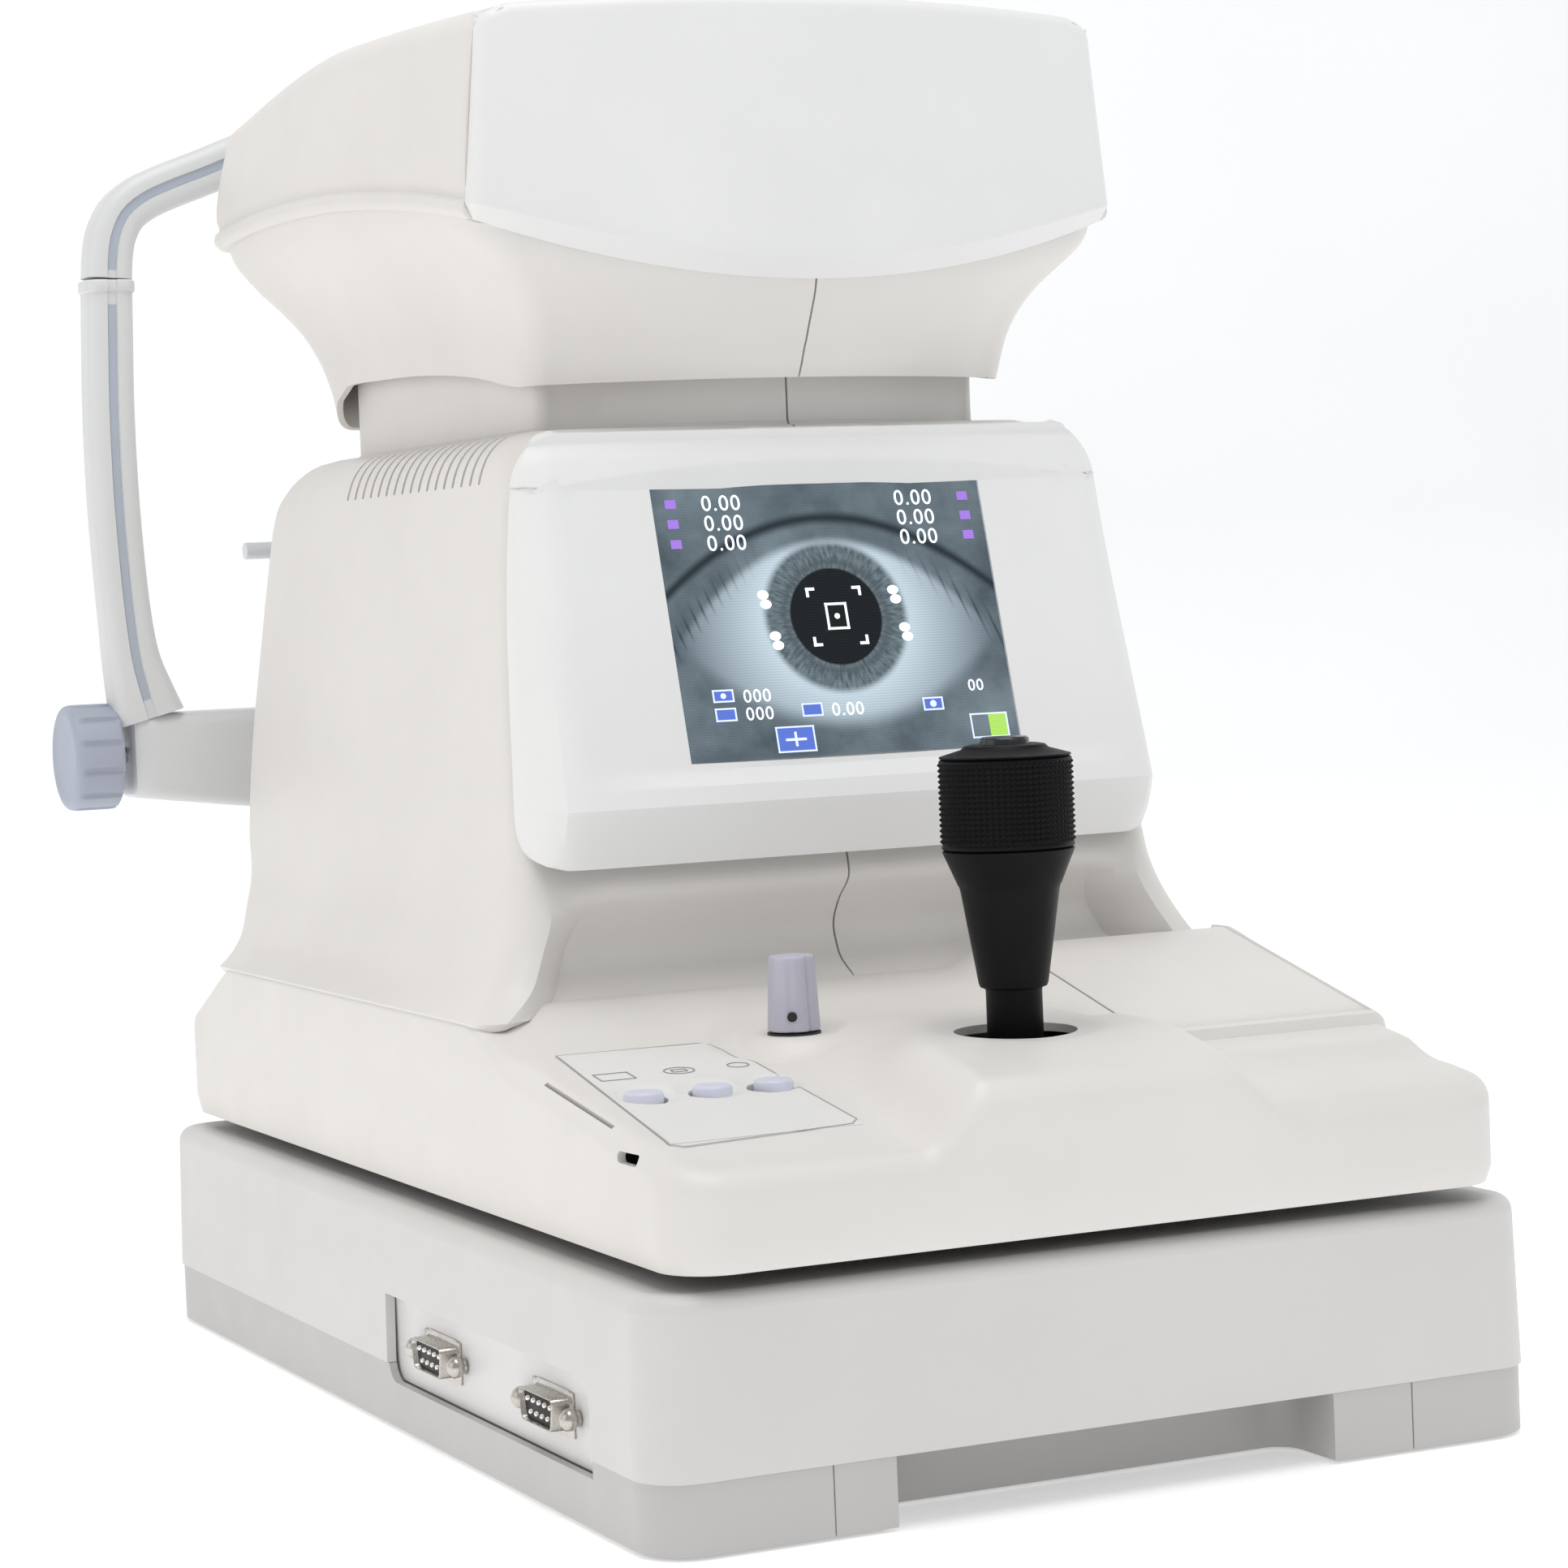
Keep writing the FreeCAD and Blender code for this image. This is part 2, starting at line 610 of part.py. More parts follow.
def make_chin_rack():
    """The chin-rest post with a rack cut into the side that faces the gear."""
    module, teeth = val("gear_module"), int(val("gear_teeth"))
    pitch_y = val("gear_y") + module * teeth / 2
    post = prism(val("rack_radius"), 140, 266, (0, val("rack_y")), "Z")
    tip_y = pitch_y - module
    post = post.cut(block((-20, tip_y - 30, 0), (20, tip_y, 400)))
    spacing = math.pi * module
    middle = val("gear_height") + spacing / 2
    slope = math.tan(math.radians(20))
    gap_half = spacing / 4 + 0.08
    gaps = []
    for i in range(-18, 7):
        z = middle + i * spacing - spacing / 2
        wide = gap_half + module * slope
        narrow = gap_half - 1.25 * module * slope
        outline = [(tip_y - 1, z - wide - slope), (tip_y - 1, z + wide + slope),
                   (pitch_y + 1.25 * module, z + narrow), (pitch_y + 1.25 * module, z - narrow)]
        gaps.append(side_profile(outline, -20, 20))
    shaped("chin_rack", post.cut(gaps))


def make_chin_cup():
    """The chin rest: a shallow moulded cup on an arm, with a pin each side for the papers."""
    y = val("rack_y")
    arm = block((-14, y - 6, 258), (14, y + 34, 268))
    socket = prism(7.0, 250, 266, (0, y), "Z")
    cup = stack([(268, 30, y + 2, y + 42, 8), (276, 40, y - 4, y + 50, 12),
                 (290, 44, y - 6, y + 54, 14)])
    dish = Part.makeSphere(60, Vector(0, y + 26, 280 + 57))
    pins = [prism(3.2, min(x, x + side * 45), max(x, x + side * 45), (y + 14, val("chin_height")), "X")
            for side, x in ((-1, -36), (1, 36))]
    shaped("chin_cup", arm.fuse([cup] + pins).cut([dish, socket]))


# ---------------------------------------------------------------- cross slide

def make_carriage_plate():
    """The cross slide's plate, with lugs at its ends for the left-and-right shafts."""
    plate = plate_body("2 * x_rail_half", 132, "carriage_gauge", (0, 0, "carriage_low"))
    window = box(90, 60, 20, (-45, -30, "carriage_low - 5"))
    lugs = []
    shafts = []
    for y in ("-x_rail_y", "x_rail_y"):
        for x in ("-x_rail_half", "x_rail_half - 10"):
            lugs.append(box(10, 20, "x_rail_height + 3 - carriage_low",
                            (x, f"{y} - 10", "carriage_low")))
        shafts.append(rod("rail_radius", "2 * x_rail_half + 2",
                          ("-x_rail_half - 1", y, "x_rail_height"), "X"))
    sub_part(cut(fuse([plate] + lugs), [window] + shafts), "carriage_plate")


def bearing_block(x, y, low, high, height, axis):
    """A linear bearing housing with its running bore."""
    house = box("bearing", "bearing", f"{high} - ({low})", (f"{x} - bearing / 2",
                                                          f"{y} - bearing / 2", low))
    start = {"X": (f"{x} - 20", y, height), "Y": (x, f"{y} - 20", height)}[axis]
    return cut(house, [rod("rail_radius + running_gap", 40, start, axis)])


def make_y_bushings():
    """Four bearings under the cross slide that run on the base's shafts."""
    blocks = [bearing_block(x, y, "y_rail_height - 11", "carriage_low", "y_rail_height", "Y")
              for x in ("-y_rail_x", "y_rail_x") for y in ("-y_bearing_y", "y_bearing_y")]
    sub_part(group(blocks), "y_bushings")


def make_x_rails():
    """The two shafts that guide the stage from side to side."""
    rods = [rod("rail_radius", "2 * x_rail_half", ("-x_rail_half", y, "x_rail_height"), "X")
            for y in ("-x_rail_y", "x_rail_y")]
    sub_part(group(rods), "x_rails")


# ---------------------------------------------------------------- stage

def make_stage_plate():
    """The chassis plate under the tray."""
    plate = plate_body("2 * stage_half_x", "2 * stage_half_y", "stage_gauge", (0, 0, "stage_low"))
    sub_part(plate, "stage_plate")


def make_x_bushings():
    """Four bearings under the stage."""
    blocks = [bearing_block(x, y, "x_rail_height - 11", "stage_low", "x_rail_height", "X")
              for x in ("-x_bearing_x", "x_bearing_x") for y in ("-x_rail_y", "x_rail_y")]
    sub_part(group(blocks), "x_bushings")


def tray_side(inset):
    """The tray's outline from the side: sloping deck in front, sloping shoulder behind."""
    low, top = val("tray_low"), val("seam_height")
    front, back = val("tray_front"), val("tray_back")
    return [(front + 6 + inset, low), (front + inset, low + 8), (front + 3 + inset, 97 - inset),
            (front + 20 + inset, 105.5 - inset), (-104, 121 - inset), (-70, top - inset),
            (172 - inset / 2, top - inset), (back - 3 - inset, 106 - inset),
            (back - inset, 98), (back - 5 - inset, low)]


def hump_side(inset):
    """The raised middle of the deck that carries the joystick."""
    front = val("tray_front")
    return [(front + 4 + inset, 95), (front + 4 + inset, 112 - inset), (front + 10, 117.5 - inset),
            (front + 28, 124 - inset), (-190, 126 - inset), (-110, 126.5 - inset),
            (-70, 129.4 - inset), (-70, 100), (-150, 95)]


def printer_side(inset):
    """The raised block under the printer's lid."""
    rise = math.tan(math.radians(13.9))
    return [(-163, 100), (-163 + inset, 115 - inset), (-156, 117.3 - inset),
            (-80, 117.3 + 76 * rise - inset), (-72, 129), (-72, 100)]


def keypad_height(y):
    """The height of the key panel's top, which slopes towards the operator."""
    return 121 + 0.1458 * (y + 104)


def make_tray_cover():
    """The moulded tray: deck, joystick hump, printer block and rear shoulder, open below."""
    tray_half, wall = val("tray_half"), val("wall")
    left, right = val("hump_left"), val("hump_right")
    plan = stack([(60, tray_half, val("tray_front"), val("tray_back"), 20),
                  (160, tray_half, val("tray_front"), val("tray_back"), 20)])
    inner_plan = stack([(50, tray_half, val("tray_front"), val("tray_back"), 20),
                        (170, tray_half, val("tray_front"), val("tray_back"), 20)], wall)
    outer = side_profile(tray_side(0), -tray_half, tray_half)
    outer = outer.fuse([side_profile(hump_side(0), left, right),
                        side_profile(printer_side(0), 46, tray_half - 0.5)]).common(plan)
    hollow = side_profile(tray_side(wall), -tray_half, tray_half)
    hollow = hollow.fuse([side_profile(hump_side(wall), left + wall, right - wall),
                          block((-tray_half, -220, 70), (tray_half, 221, 79))])
    hollow = hollow.common(inner_plan)
    tray = outer.cut(hollow)
    boss_x, boss_y = val("knob_x"), val("knob_y")
    boss = Part.makeCone(14.6, 9.5, 7.5, Vector(boss_x, boss_y, 115.5))
    lid_y, lid_z = val("lid_hinge_y"), val("lid_hinge_height")
    ears = [block((low, lid_y - 3, 120), (low + 2.4, lid_y + 3, lid_z + 3)) for low in (46.3, 128.3)]
    tray = tray.fuse([boss] + ears)
    top = keypad_height(val("key_y"))
    cuts = [prism(val("deck_hole"), 100, 140, (0, val("joystick_y")), "Z"),
            prism(3.3, 100, 140, (boss_x, boss_y), "Z"),
            prism(8.6, 123, 140, (boss_x, boss_y), "Z"),
            block((53, -158, 80), (124, -73, 142)),
            block((-116, -48, 120), (116, 165, 140)),
            stack(COLUMN_SECTIONS),
            block((-124, -203, top - 12), (-62, -101, top + 12)).cut(
                side_profile([(-210, 60), (-210, keypad_height(-210) - 2.4),
                              (-95, keypad_height(-95) - 2.4), (-95, 60)], -130, -50))]
    for key in ("key_one", "key_two", "key_three"):
        cuts.append(prism(6, 100, 120, (val(key), val("key_y")), "Z"))
    cuts.append(prism(1.6, 45, 131, (lid_y, lid_z), "X"))
    shaped("tray_cover", largest(tray.cut(cuts)))


COLUMN_SECTIONS = [
    # height, half width, front, back, corner radius
    (129.8, 131, -78, 184, 24),
    (136, 123.5, -68, 191, 24),
    (145, 117.5, -56, 198, 22),
    (152, 114, -54, 203, 20),
    (160, 111, -58, 208, 18),
    (169, 109, -62, 211, 16),
    (180, 108, -60, 213, 14),
    (205, 106.5, -56, 210, 14),
    (228, 105, -52.6, 205, 14),
    (256, 103, -49.3, 198, 14),
    (285, 100.5, -49, 191, 14),
    (296, 97.5, -47, 184, 16),
    (302, 93, -42, 175, 20),
    (305.7, 86, -34, 163, 24),
]


def make_column(side, node):
    """One half of the column, with its half of the collar that the head slides over."""
    wall = val("wall")
    outer = stack(COLUMN_SECTIONS)
    inner_sections = [(129.0,) + COLUMN_SECTIONS[0][1:]] + COLUMN_SECTIONS[:-1]
    inner = stack(inner_sections + [(val("column_top") - wall, 90, -38, 168, 22)], wall)
    top, collar = val("column_top"), val("collar_half")
    collar_outer = stack([(top - 1, collar, -31, 150, 24), (val("collar_top"), collar, -31, 150,
                                                           24)])
    collar_inner = stack([(top - 5, collar, -31, 150, 24), (val("collar_top") + 1, collar, -31,
                                                           150, 24)], wall)
    shell = outer.cut(inner).fuse(collar_outer).cut(collar_inner)
    front = block((-97, -90, 176), (97, -30, 296))
    shaped(node, half(shell.cut(front), side))


def monitor_turn():
    return Rotation(Vector(1, 0, 0), -val("screen_tilt"))


def on_screen(shape):
    """Put a shape made about the origin in XZ onto the tilted screen's middle."""
    place_at = FreeCAD.Placement(Vector(0, val("screen_y"), val("screen_z")), monitor_turn())
    return shape.transformGeometry(place_at.toMatrix())


def make_monitor_bezel():
    """The monitor's surround: a shell with a window for the screen."""
    outline = [(99.5, 292), (103.5, 250), (106.8, 181), (103, 172.5), (-103, 172.5),
               (-106.8, 181), (-103.5, 250), (-99.5, 292), (-86, 302.5), (86, 302.5)]
    points = [Vector(x, -130, z) for x, z in outline]
    mass = Part.Face(Part.makePolygon(points + points[:1])).extrude(Vector(0, 120, 0))
    side = [(-52, 303.5), (-58, 298), (-60, 290), (-88, 190), (-86, 183), (-70, 172.4),
            (-64.6, 172.4), (-60.4, 180), (-56.4, 205), (-53, 228), (-49.7, 256), (-49.4, 303.5)]
    shell = mass.common(side_profile(side, -110, 110))
    aperture = on_screen(block((-val("screen_width") / 2 - 0.5, -40,
                                -val("screen_height") / 2 - 0.5),
                               (val("screen_width") / 2 + 0.5, 40,
                                val("screen_height") / 2 + 0.5)))
    cavity = on_screen(block((-72, 0, -54), (72, 40, 50)))
    shaped("monitor_bezel", shell.cut([aperture, cavity]))


def make_lcd_screen():
    """The liquid crystal panel's glass."""
    half_x, half_z = val("screen_width") / 2, val("screen_height") / 2
    shaped("lcd_screen", on_screen(block((-half_x, 0.3, -half_z), (half_x, 1.8, half_z))))


def make_lcd_module():
    """The metal-framed module behind the glass, with its backlight."""
    shaped("lcd_module", on_screen(block((-66, 2, -48), (66, 9, 47))))


def make_main_board():
    """The main circuit board, upright in the column, with its larger parts."""
    board = box(140, 1.6, 120, (-70, 150, 150))
    chips = [box(24, 3, 24, (x, 147, z)) for x in (-50, -10, 30) for z in (170, 220)]
    stands = [box(6, 8, 70, (x, 151.6, 80)) for x in (-66, 60)]
    legs = [box(6, 8, 12, (x, 151.6, 148)) for x in (-66, 60)]
    sub_part(fuse([board] + chips + stands + legs), "main_board")


def make_lift_frame():
    """Two upright guide rods, tied at the foot."""
    rods = [rod("guide_radius", "guide_top - 90", (x, "guide_y", 90)) for x in
            ("-guide_x", "guide_x")]
    foot = box(120, 40, 12.2, (-60, "guide_y - 20", 77.8))
    sub_part(fuse(rods + [foot]), "lift_frame")


def make_lift_motor():
    """The stepper motor that turns the lift screw."""
    sub_part(box(42, 40, 34, (-21, "guide_y - 20", 90.2)), "lift_motor")


def make_lift_screw():
    """The lift screw."""
    sub_part(rod("screw_radius", 212, (0, "guide_y", 124.6)), "lift_screw")


def make_printer_body():
    """The printer's frame: an open bay with walls for the roll and the platen."""
    frame = box(68, 74, 34, (54.5, -154, 78))
    bay = box(62, 69.4, 40, (57.5, -151.6, 80))
    seats = []
    for x in (54, 119):
        seats.append(rod(2.05, 5, (x, "roll_y", "roll_height"), "X"))
        seats.append(rod(2.05, 5, (x, "platen_y", "platen_height"), "X"))
    sub_part(cut(frame, [bay] + seats), "printer_body")


def make_paper_roll():
    """The paper roll on its spindle."""
    roll = rod("roll_radius", "roll_width", ("roll_x - roll_width / 2", "roll_y", "roll_height"),
               "X")
    spindle = rod(2, 67, ("roll_x - 33.5", "roll_y", "roll_height"), "X")
    sub_part(fuse([roll, spindle]), "paper_roll")


def make_platen_roller():
    """The rubber roller that feeds the paper."""
    roller = rod("platen_radius", 58, ("roll_x - 29", "platen_y", "platen_height"), "X")
    spindle = rod(2, 67, ("roll_x - 33.5", "platen_y", "platen_height"), "X")
    sub_part(fuse([roller, spindle]), "platen_roller")


def make_printer_lid():
    """The flat lid over the printer, on a hinge pin along its rear edge."""
    rise = math.tan(math.radians(13.9))
    left, right = val("lid_left"), val("lid_right")
    plate = side_profile([(-156, 117.6), (-156, 120), (-80, 120 + 76 * rise),
                          (-80, 117.6 + 76 * rise)], left, right)
    y, z = val("lid_hinge_y"), val("lid_hinge_height")
    pin = prism(1.55, 46.5, 130, (y, z), "X")
    knuckles = [block((x, -81, z - 1.5), (x + 6, y, z + 1.5)) for x in (left + 8, right - 14)]
    shaped("printer_lid", plate.fuse([pin] + knuckles).removeSplitter())


def make_keypad_panel():
    """The key panel, a thin plate with a hole for each key."""
    outline = [(-202, keypad_height(-202) - 2.2), (-202, keypad_height(-202)),
               (-102, keypad_height(-102)), (-102, keypad_height(-102) - 2.2)]
    panel = side_profile(outline, -123, -63)
    holes = [prism(6.3, 100, 130, (val(key), val("key_y")), "Z")
             for key in ("key_one", "key_two", "key_three")]
    shaped("keypad_panel", panel.cut(holes))


def make_key(alias, node):
    """One round key with a stem."""
    top = keypad_height(val("key_y"))
    cap = rod(5.7, 4, (alias, "key_y", top - 2.8))
    sub_part(cap, node)


def make_brightness_knob():
    """The tapered knob for the screen's brightness."""
    shaft = rod(3.2, 25, ("knob_x", "knob_y", "knob_bottom - 24"))
    grip = cone(7.9, 6.75, "knob_height", ("knob_x", "knob_y", "knob_bottom"))
    sub_part(fuse([shaft, grip]), "brightness_knob")


def make_joystick_base():
    """The forked base that holds the joystick's outer pivot."""
    low = "stage_low + stage_gauge"
    foot = box(64, 40, 3, (-32, "joystick_y - 20", low))
    lugs = [box(6, 12, 20, (x, "joystick_y - 6", low)) for x in (-32, 26)]
    bore = rod("3 + running_gap", 80, (-40, "joystick_y", "pivot_height"), "X")
    sub_part(cut(fuse([foot] + lugs), [bore]), "joystick_base")


def make_gimbal_ring():
    """The gimbal ring: its pins lie along X, its bores along Y."""
    ring = ring_body(22, 14, 7, (0, "joystick_y", "pivot_height - 3.5"))
    pins = [rod(3, 12, (x, "joystick_y", "pivot_height"), "X") for x in (-31, 19)]
    bores = rod("3 + running_gap", 60, (0, "joystick_y - 30", "pivot_height"), "Y")
    sub_part(cut(fuse([ring] + pins), [bores]), "gimbal_ring")


def turned(profile, height):
    """A solid turned about the joystick's axis from (radius, height) points."""
    points = [Vector(r, 0, z) for r, z in profile]
    face = Part.Face(Part.makePolygon(points + points[:1]))
    solid = face.revolve(Vector(), Vector(0, 0, 1), 360)
    return solid.translated(Vector(0, val("joystick_y"), height))


def make_joystick_lever():
    """The lever: pivot hub, shaft, cone, skirt, core and cap."""
    profile = [(0, 85.5), (8.1, 85.5), (8.1, 137.5), (9.6, 137.5), (14.4, 166.5), (14.8, 167),
               (19.1, 177), (15.5, 177), (15.5, 203.2), (18.8, 203.2), (18.6, 204), (12.6, 205.2),
               (11, 206.6), (7.3, 207), (7.3, 196), (0, 196)]
    lever = turned(profile, 0)
    pin = prism(3, val("joystick_y") - 21, val("joystick_y") + 21, (0, val("pivot_height")), "Y")
    shaped("joystick_lever", lever.fuse(pin))


def make_height_ring():
    """The knurled ring that raises and lowers the head."""
    ring = ring_body(19.5, 15.55, 25.9, (0, "joystick_y", 177.15))
    sub_part(ring, "height_ring")


def make_measure_button():
    """The push button in the top of the joystick."""
    sub_part(rod(7.15, 10, (0, "joystick_y", 199)), "measure_button")


# ---------------------------------------------------------------- head

def front_cover_solid(inset, back):
    """The front cover's body: bowed in plan, with its lower edge curved down in the middle."""
    half_x = 109.5 - inset
    seam = -47.5
    top = 434 - inset
    plan = [Vector(half_x, back, 0), Vector(half_x, seam - 5 + inset / 2, 0)]
    arc = Part.Arc(plan[1], Vector(0, seam - 17 + inset, 0), Vector(-half_x, plan[1].y, 0))
    edges = [Part.LineSegment(plan[0], plan[1]).toShape(), arc.toShape(),
             Part.LineSegment(Vector(-half_x, plan[1].y, 0), Vector(-half_x, back, 0)).toShape(),
             Part.LineSegment(Vector(-half_x, back, 0), plan[0]).toShape()]
    body = Part.Face(Part.Wire(edges)).extrude(Vector(0, 0, 500))
    sag = [Vector(half_x, -120, 369 + inset), Vector(0, -120, 349 + inset),
           Vector(-half_x, -120, 369 + inset)]
    under = Part.Arc(*sag).toShape()
    lid_edges = [under, Part.LineSegment(sag[2], Vector(-half_x, -120, top)).toShape(),
                 Part.LineSegment(Vector(-half_x, -120, top), Vector(half_x, -120, top)).toShape(),
                 Part.LineSegment(Vector(half_x, -120, top), sag[0]).toShape()]
    window = Part.Face(Part.Wire(lid_edges)).extrude(Vector(0, 240, 0))
    return body.common(window)


def make_head_front_cover():
    """The front cover of the head."""
    seam = -47.5
    outer = front_cover_solid(0, seam)
    shaped("head_front_cover", outer.cut(front_cover_solid(val("wall"), seam + 5)))


def along_y(radius, low, high, x, z):
    """A cylinder along Y from one y to another."""
    return Part.makeCylinder(radius, high - low, Vector(x, low, z), Vector(0, 1, 0))


def crown(drop):
    """A block under the head's top line, which rises to the middle and falls to both ends."""
    line = [(-70, 433.5), (-12, 436.5), (56, 440.3), (95, 441), (147, 437.8), (230, 427)]
    top = Part.BSplineCurve()
    top.interpolate([Vector(-120, y, z - drop) for y, z in line])
    first, last = top.StartPoint, top.EndPoint
    corners = [last, Vector(-120, last.y, 300), Vector(-120, first.y, 300), first]
    wire = Part.Wire([top.toShape(), Part.makePolygon(corners)])
    return Part.Face(wire).extrude(Vector(240, 0, 0))


def make_head_rear_cover():
    """The cover over the head's top, sides and patient's side."""
    seam, wall, top = -47.2, val("wall"), val("head_top")
    outer = stack([(384.3, 110, seam, 217, 12), (430, 110, seam, 217, 12), (437, 107, seam, 216, 12),
                   (top, 98, seam, 215, 12)]).common(crown(0))
    inner = stack([(380, 110, seam - 20, 217, 12), (430, 110, seam - 20, 217, 12),
                   (top, 101, seam - 20, 216, 12)], wall).common(crown(wall))
    hole = along_y(val("window_radius") + 0.5, 180, 260, 0, val("axis_height"))
    room = block((-120, -100, 300), (120, seam, 500))
    shaped("head_rear_cover", outer.cut([inner, hole, room]))


COWL_SECTIONS = [
    # height, half width, front, back, corner radius
    (319.5, 84, -40, 170, 22),
    (330, 84.5, -46, 176, 22),
    (340, 86, -52, 184, 22),
    (350, 91, -57, 196, 22),
    (360, 98, -58, 206, 20),
    (372, 105, -57, 214, 16),
    (384, 108.5, -50, 217, 14),
]


def make_cowl(side, node):
    """One half of the flared cowl under the head."""
    wall = val("wall")
    outer = stack(COWL_SECTIONS)
    first, last = COWL_SECTIONS[0], COWL_SECTIONS[-1]
    inner_sections = [(first[0] - 1,) + first[1:]] + COWL_SECTIONS[1:-1] + [(385,) + last[1:]]
    inner = stack(inner_sections, wall)
    hole = along_y(val("window_radius") + 0.5, 180, 260, 0, val("axis_height"))
    cover = front_cover_solid(-0.3, 0).common(block((-120, -100, 300), (120, -46.9, 500)))
    shaped(node, largest(half(outer.cut([inner, hole, cover]), side)))


def make_optical_bench():
    """The bench that carries the optics, with sleeves on the guide rods and the lift nut."""
    bench = box(150, 210, 6, (-75, -25, "bench_low"))
    sleeves = [rod(10, 60, (x, "guide_y", "bench_low - 58")) for x in ("-guide_x", "guide_x")]
    nut = rod(11, 60, (0, "guide_y", "bench_low - 58"))
    cradles = [box(30, 8, "axis_height - 22 - bench_low", (-15, y, "bench_low")) for y in
               (125, 176)]
    ledge = box(60, 6, 50, (-30, -8, "bench_low"))
    bores = [rod("guide_radius + running_gap", 120, (x, "guide_y", "bench_low - 100")) for x in
             ("-guide_x", "guide_x")]
    bores.append(rod("screw_radius + 0.08", 120, (0, "guide_y", "bench_low - 100")))
    sub_part(cut(fuse([bench] + sleeves + [nut] + cradles + [ledge]), bores), "optical_bench")


def make_lens_barrel():
    """The tube with the measuring lenses."""
    barrel = ring_body(22, 18, 95, (0, 115, "axis_height"), AXIS_TURN["Y"])
    sub_part(barrel, "lens_barrel")


def make_measuring_window():
    """The window that faces the patient's eye."""
    sub_part(rod(26, 2, (0, 216, "axis_height"), "Y"), "measuring_window")


def make_window_ring():
    """The dark ring round the window, which holds the target lights."""
    ring = ring_body("window_radius", 26.05, 12, (0, 210.5, "axis_height"), AXIS_TURN["Y"])
    sub_part(ring, "window_ring")


def make_camera_module():
    """The camera that watches the eye through the lenses."""
    case = box(40, 24, 40, (-20, -2, "axis_height - 20"))
    nose = rod(11, 18, (0, 22, "axis_height"), "Y")
    sub_part(fuse([case, nose]), "camera_module")


def make_focus_carriage():
    """The focusing lens on its small carriage."""
    block_body = box(36, 14, 21.5, (-18, 78, "bench_low + 6.3"))
    lens = rod(14, 8, (0, 81, "axis_height"), "Y")
    sub_part(fuse([block_body, lens]), "focus_carriage")


# ---------------------------------------------------------------- build

make_base_housing()
make_base_skirt()
make_base_plate()
make_rubber_feet()
make_connector_panel()
make_connector_shells()
make_connector_inserts()
make_power_inlet()
make_power_switch()
make_power_supply()
make_y_rails()
make_support_bracket()
make_crossbar()
make_post(-1, "left_post")
make_post(1, "right_post")
make_upper_bow()
make_forehead_pad()
make_chin_shaft()
make_chin_knob()
make_chin_rack()
make_chin_cup()
make_carriage_plate()
make_y_bushings()
make_x_rails()
make_stage_plate()
make_x_bushings()
make_tray_cover()
make_column(-1, "column_left")
make_column(1, "column_right")
make_monitor_bezel()
make_lcd_screen()
make_lcd_module()
make_main_board()
make_lift_frame()
make_lift_motor()
make_lift_screw()
make_printer_body()
make_paper_roll()
make_platen_roller()
make_printer_lid()
make_keypad_panel()
make_key("key_one", "key_print")
make_key("key_two", "key_mode")
make_key("key_three", "key_menu")
make_brightness_knob()
make_joystick_base()
make_gimbal_ring()
make_joystick_lever()
make_height_ring()
make_measure_button()
make_head_front_cover()
make_head_rear_cover()
make_cowl(-1, "cowl_left")
make_cowl(1, "cowl_right")
make_optical_bench()
make_lens_barrel()
make_measuring_window()
make_window_ring()
make_camera_module()
make_focus_carriage()

doc.recompute()
for thing in doc.Objects:
    if "Invalid" in thing.State or "Error" in thing.State:
        raise RuntimeError(f"{thing.Label} did not build: {thing.State}")
for thing in SUB_PARTS:
    if thing.Shape.isNull() or not thing.Shape.isValid():
        raise RuntimeError(f"{thing.Label} has no valid shape")

os.makedirs("parts", exist_ok=True)
for thing in SUB_PARTS:
    thing.Shape.exportStep(f"parts/{thing.Label}.step")
print(len(SUB_PARTS), "sub-parts written")
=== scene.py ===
import json
import math

import bmesh
import bpy
from mathutils import Matrix, Vector


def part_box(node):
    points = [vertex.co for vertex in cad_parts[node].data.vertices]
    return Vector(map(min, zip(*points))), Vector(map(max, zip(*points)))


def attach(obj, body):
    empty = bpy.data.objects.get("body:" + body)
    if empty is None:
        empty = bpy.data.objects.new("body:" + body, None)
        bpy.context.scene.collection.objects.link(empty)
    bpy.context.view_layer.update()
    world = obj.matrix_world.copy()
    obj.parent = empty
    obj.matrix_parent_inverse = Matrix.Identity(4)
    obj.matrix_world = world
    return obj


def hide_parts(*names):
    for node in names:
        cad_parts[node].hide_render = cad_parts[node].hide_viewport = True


# The looks of the autorefractor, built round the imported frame.
# Shapes below are written in millimetres and turned into metres where a mesh is made.

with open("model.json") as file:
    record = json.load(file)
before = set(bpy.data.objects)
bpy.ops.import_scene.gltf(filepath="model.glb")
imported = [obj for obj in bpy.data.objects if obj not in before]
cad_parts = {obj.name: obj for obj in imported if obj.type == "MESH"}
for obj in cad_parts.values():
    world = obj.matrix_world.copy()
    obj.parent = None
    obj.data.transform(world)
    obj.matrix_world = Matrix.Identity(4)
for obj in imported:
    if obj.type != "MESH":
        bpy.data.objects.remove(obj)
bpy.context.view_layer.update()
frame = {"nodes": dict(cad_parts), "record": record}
scene = bpy.context.scene
MM = 0.001
FAR = 400           # past every side of the instrument
SEAM_GAP = 0.35     # half the open line between the left and right shells


# ---------------------------------------------------------------- numbers

def clamp(value, low=0.0, high=1.0):
    return max(low, min(high, value))


def smooth(value, low, high):
    """0 below low, 1 above high, and an S curve between; low may be the larger."""
    t = clamp((value - low) / (high - low))
    return t * t * (3 - 2 * t)


def mix(a, b, t):
    return a + (b - a) * t


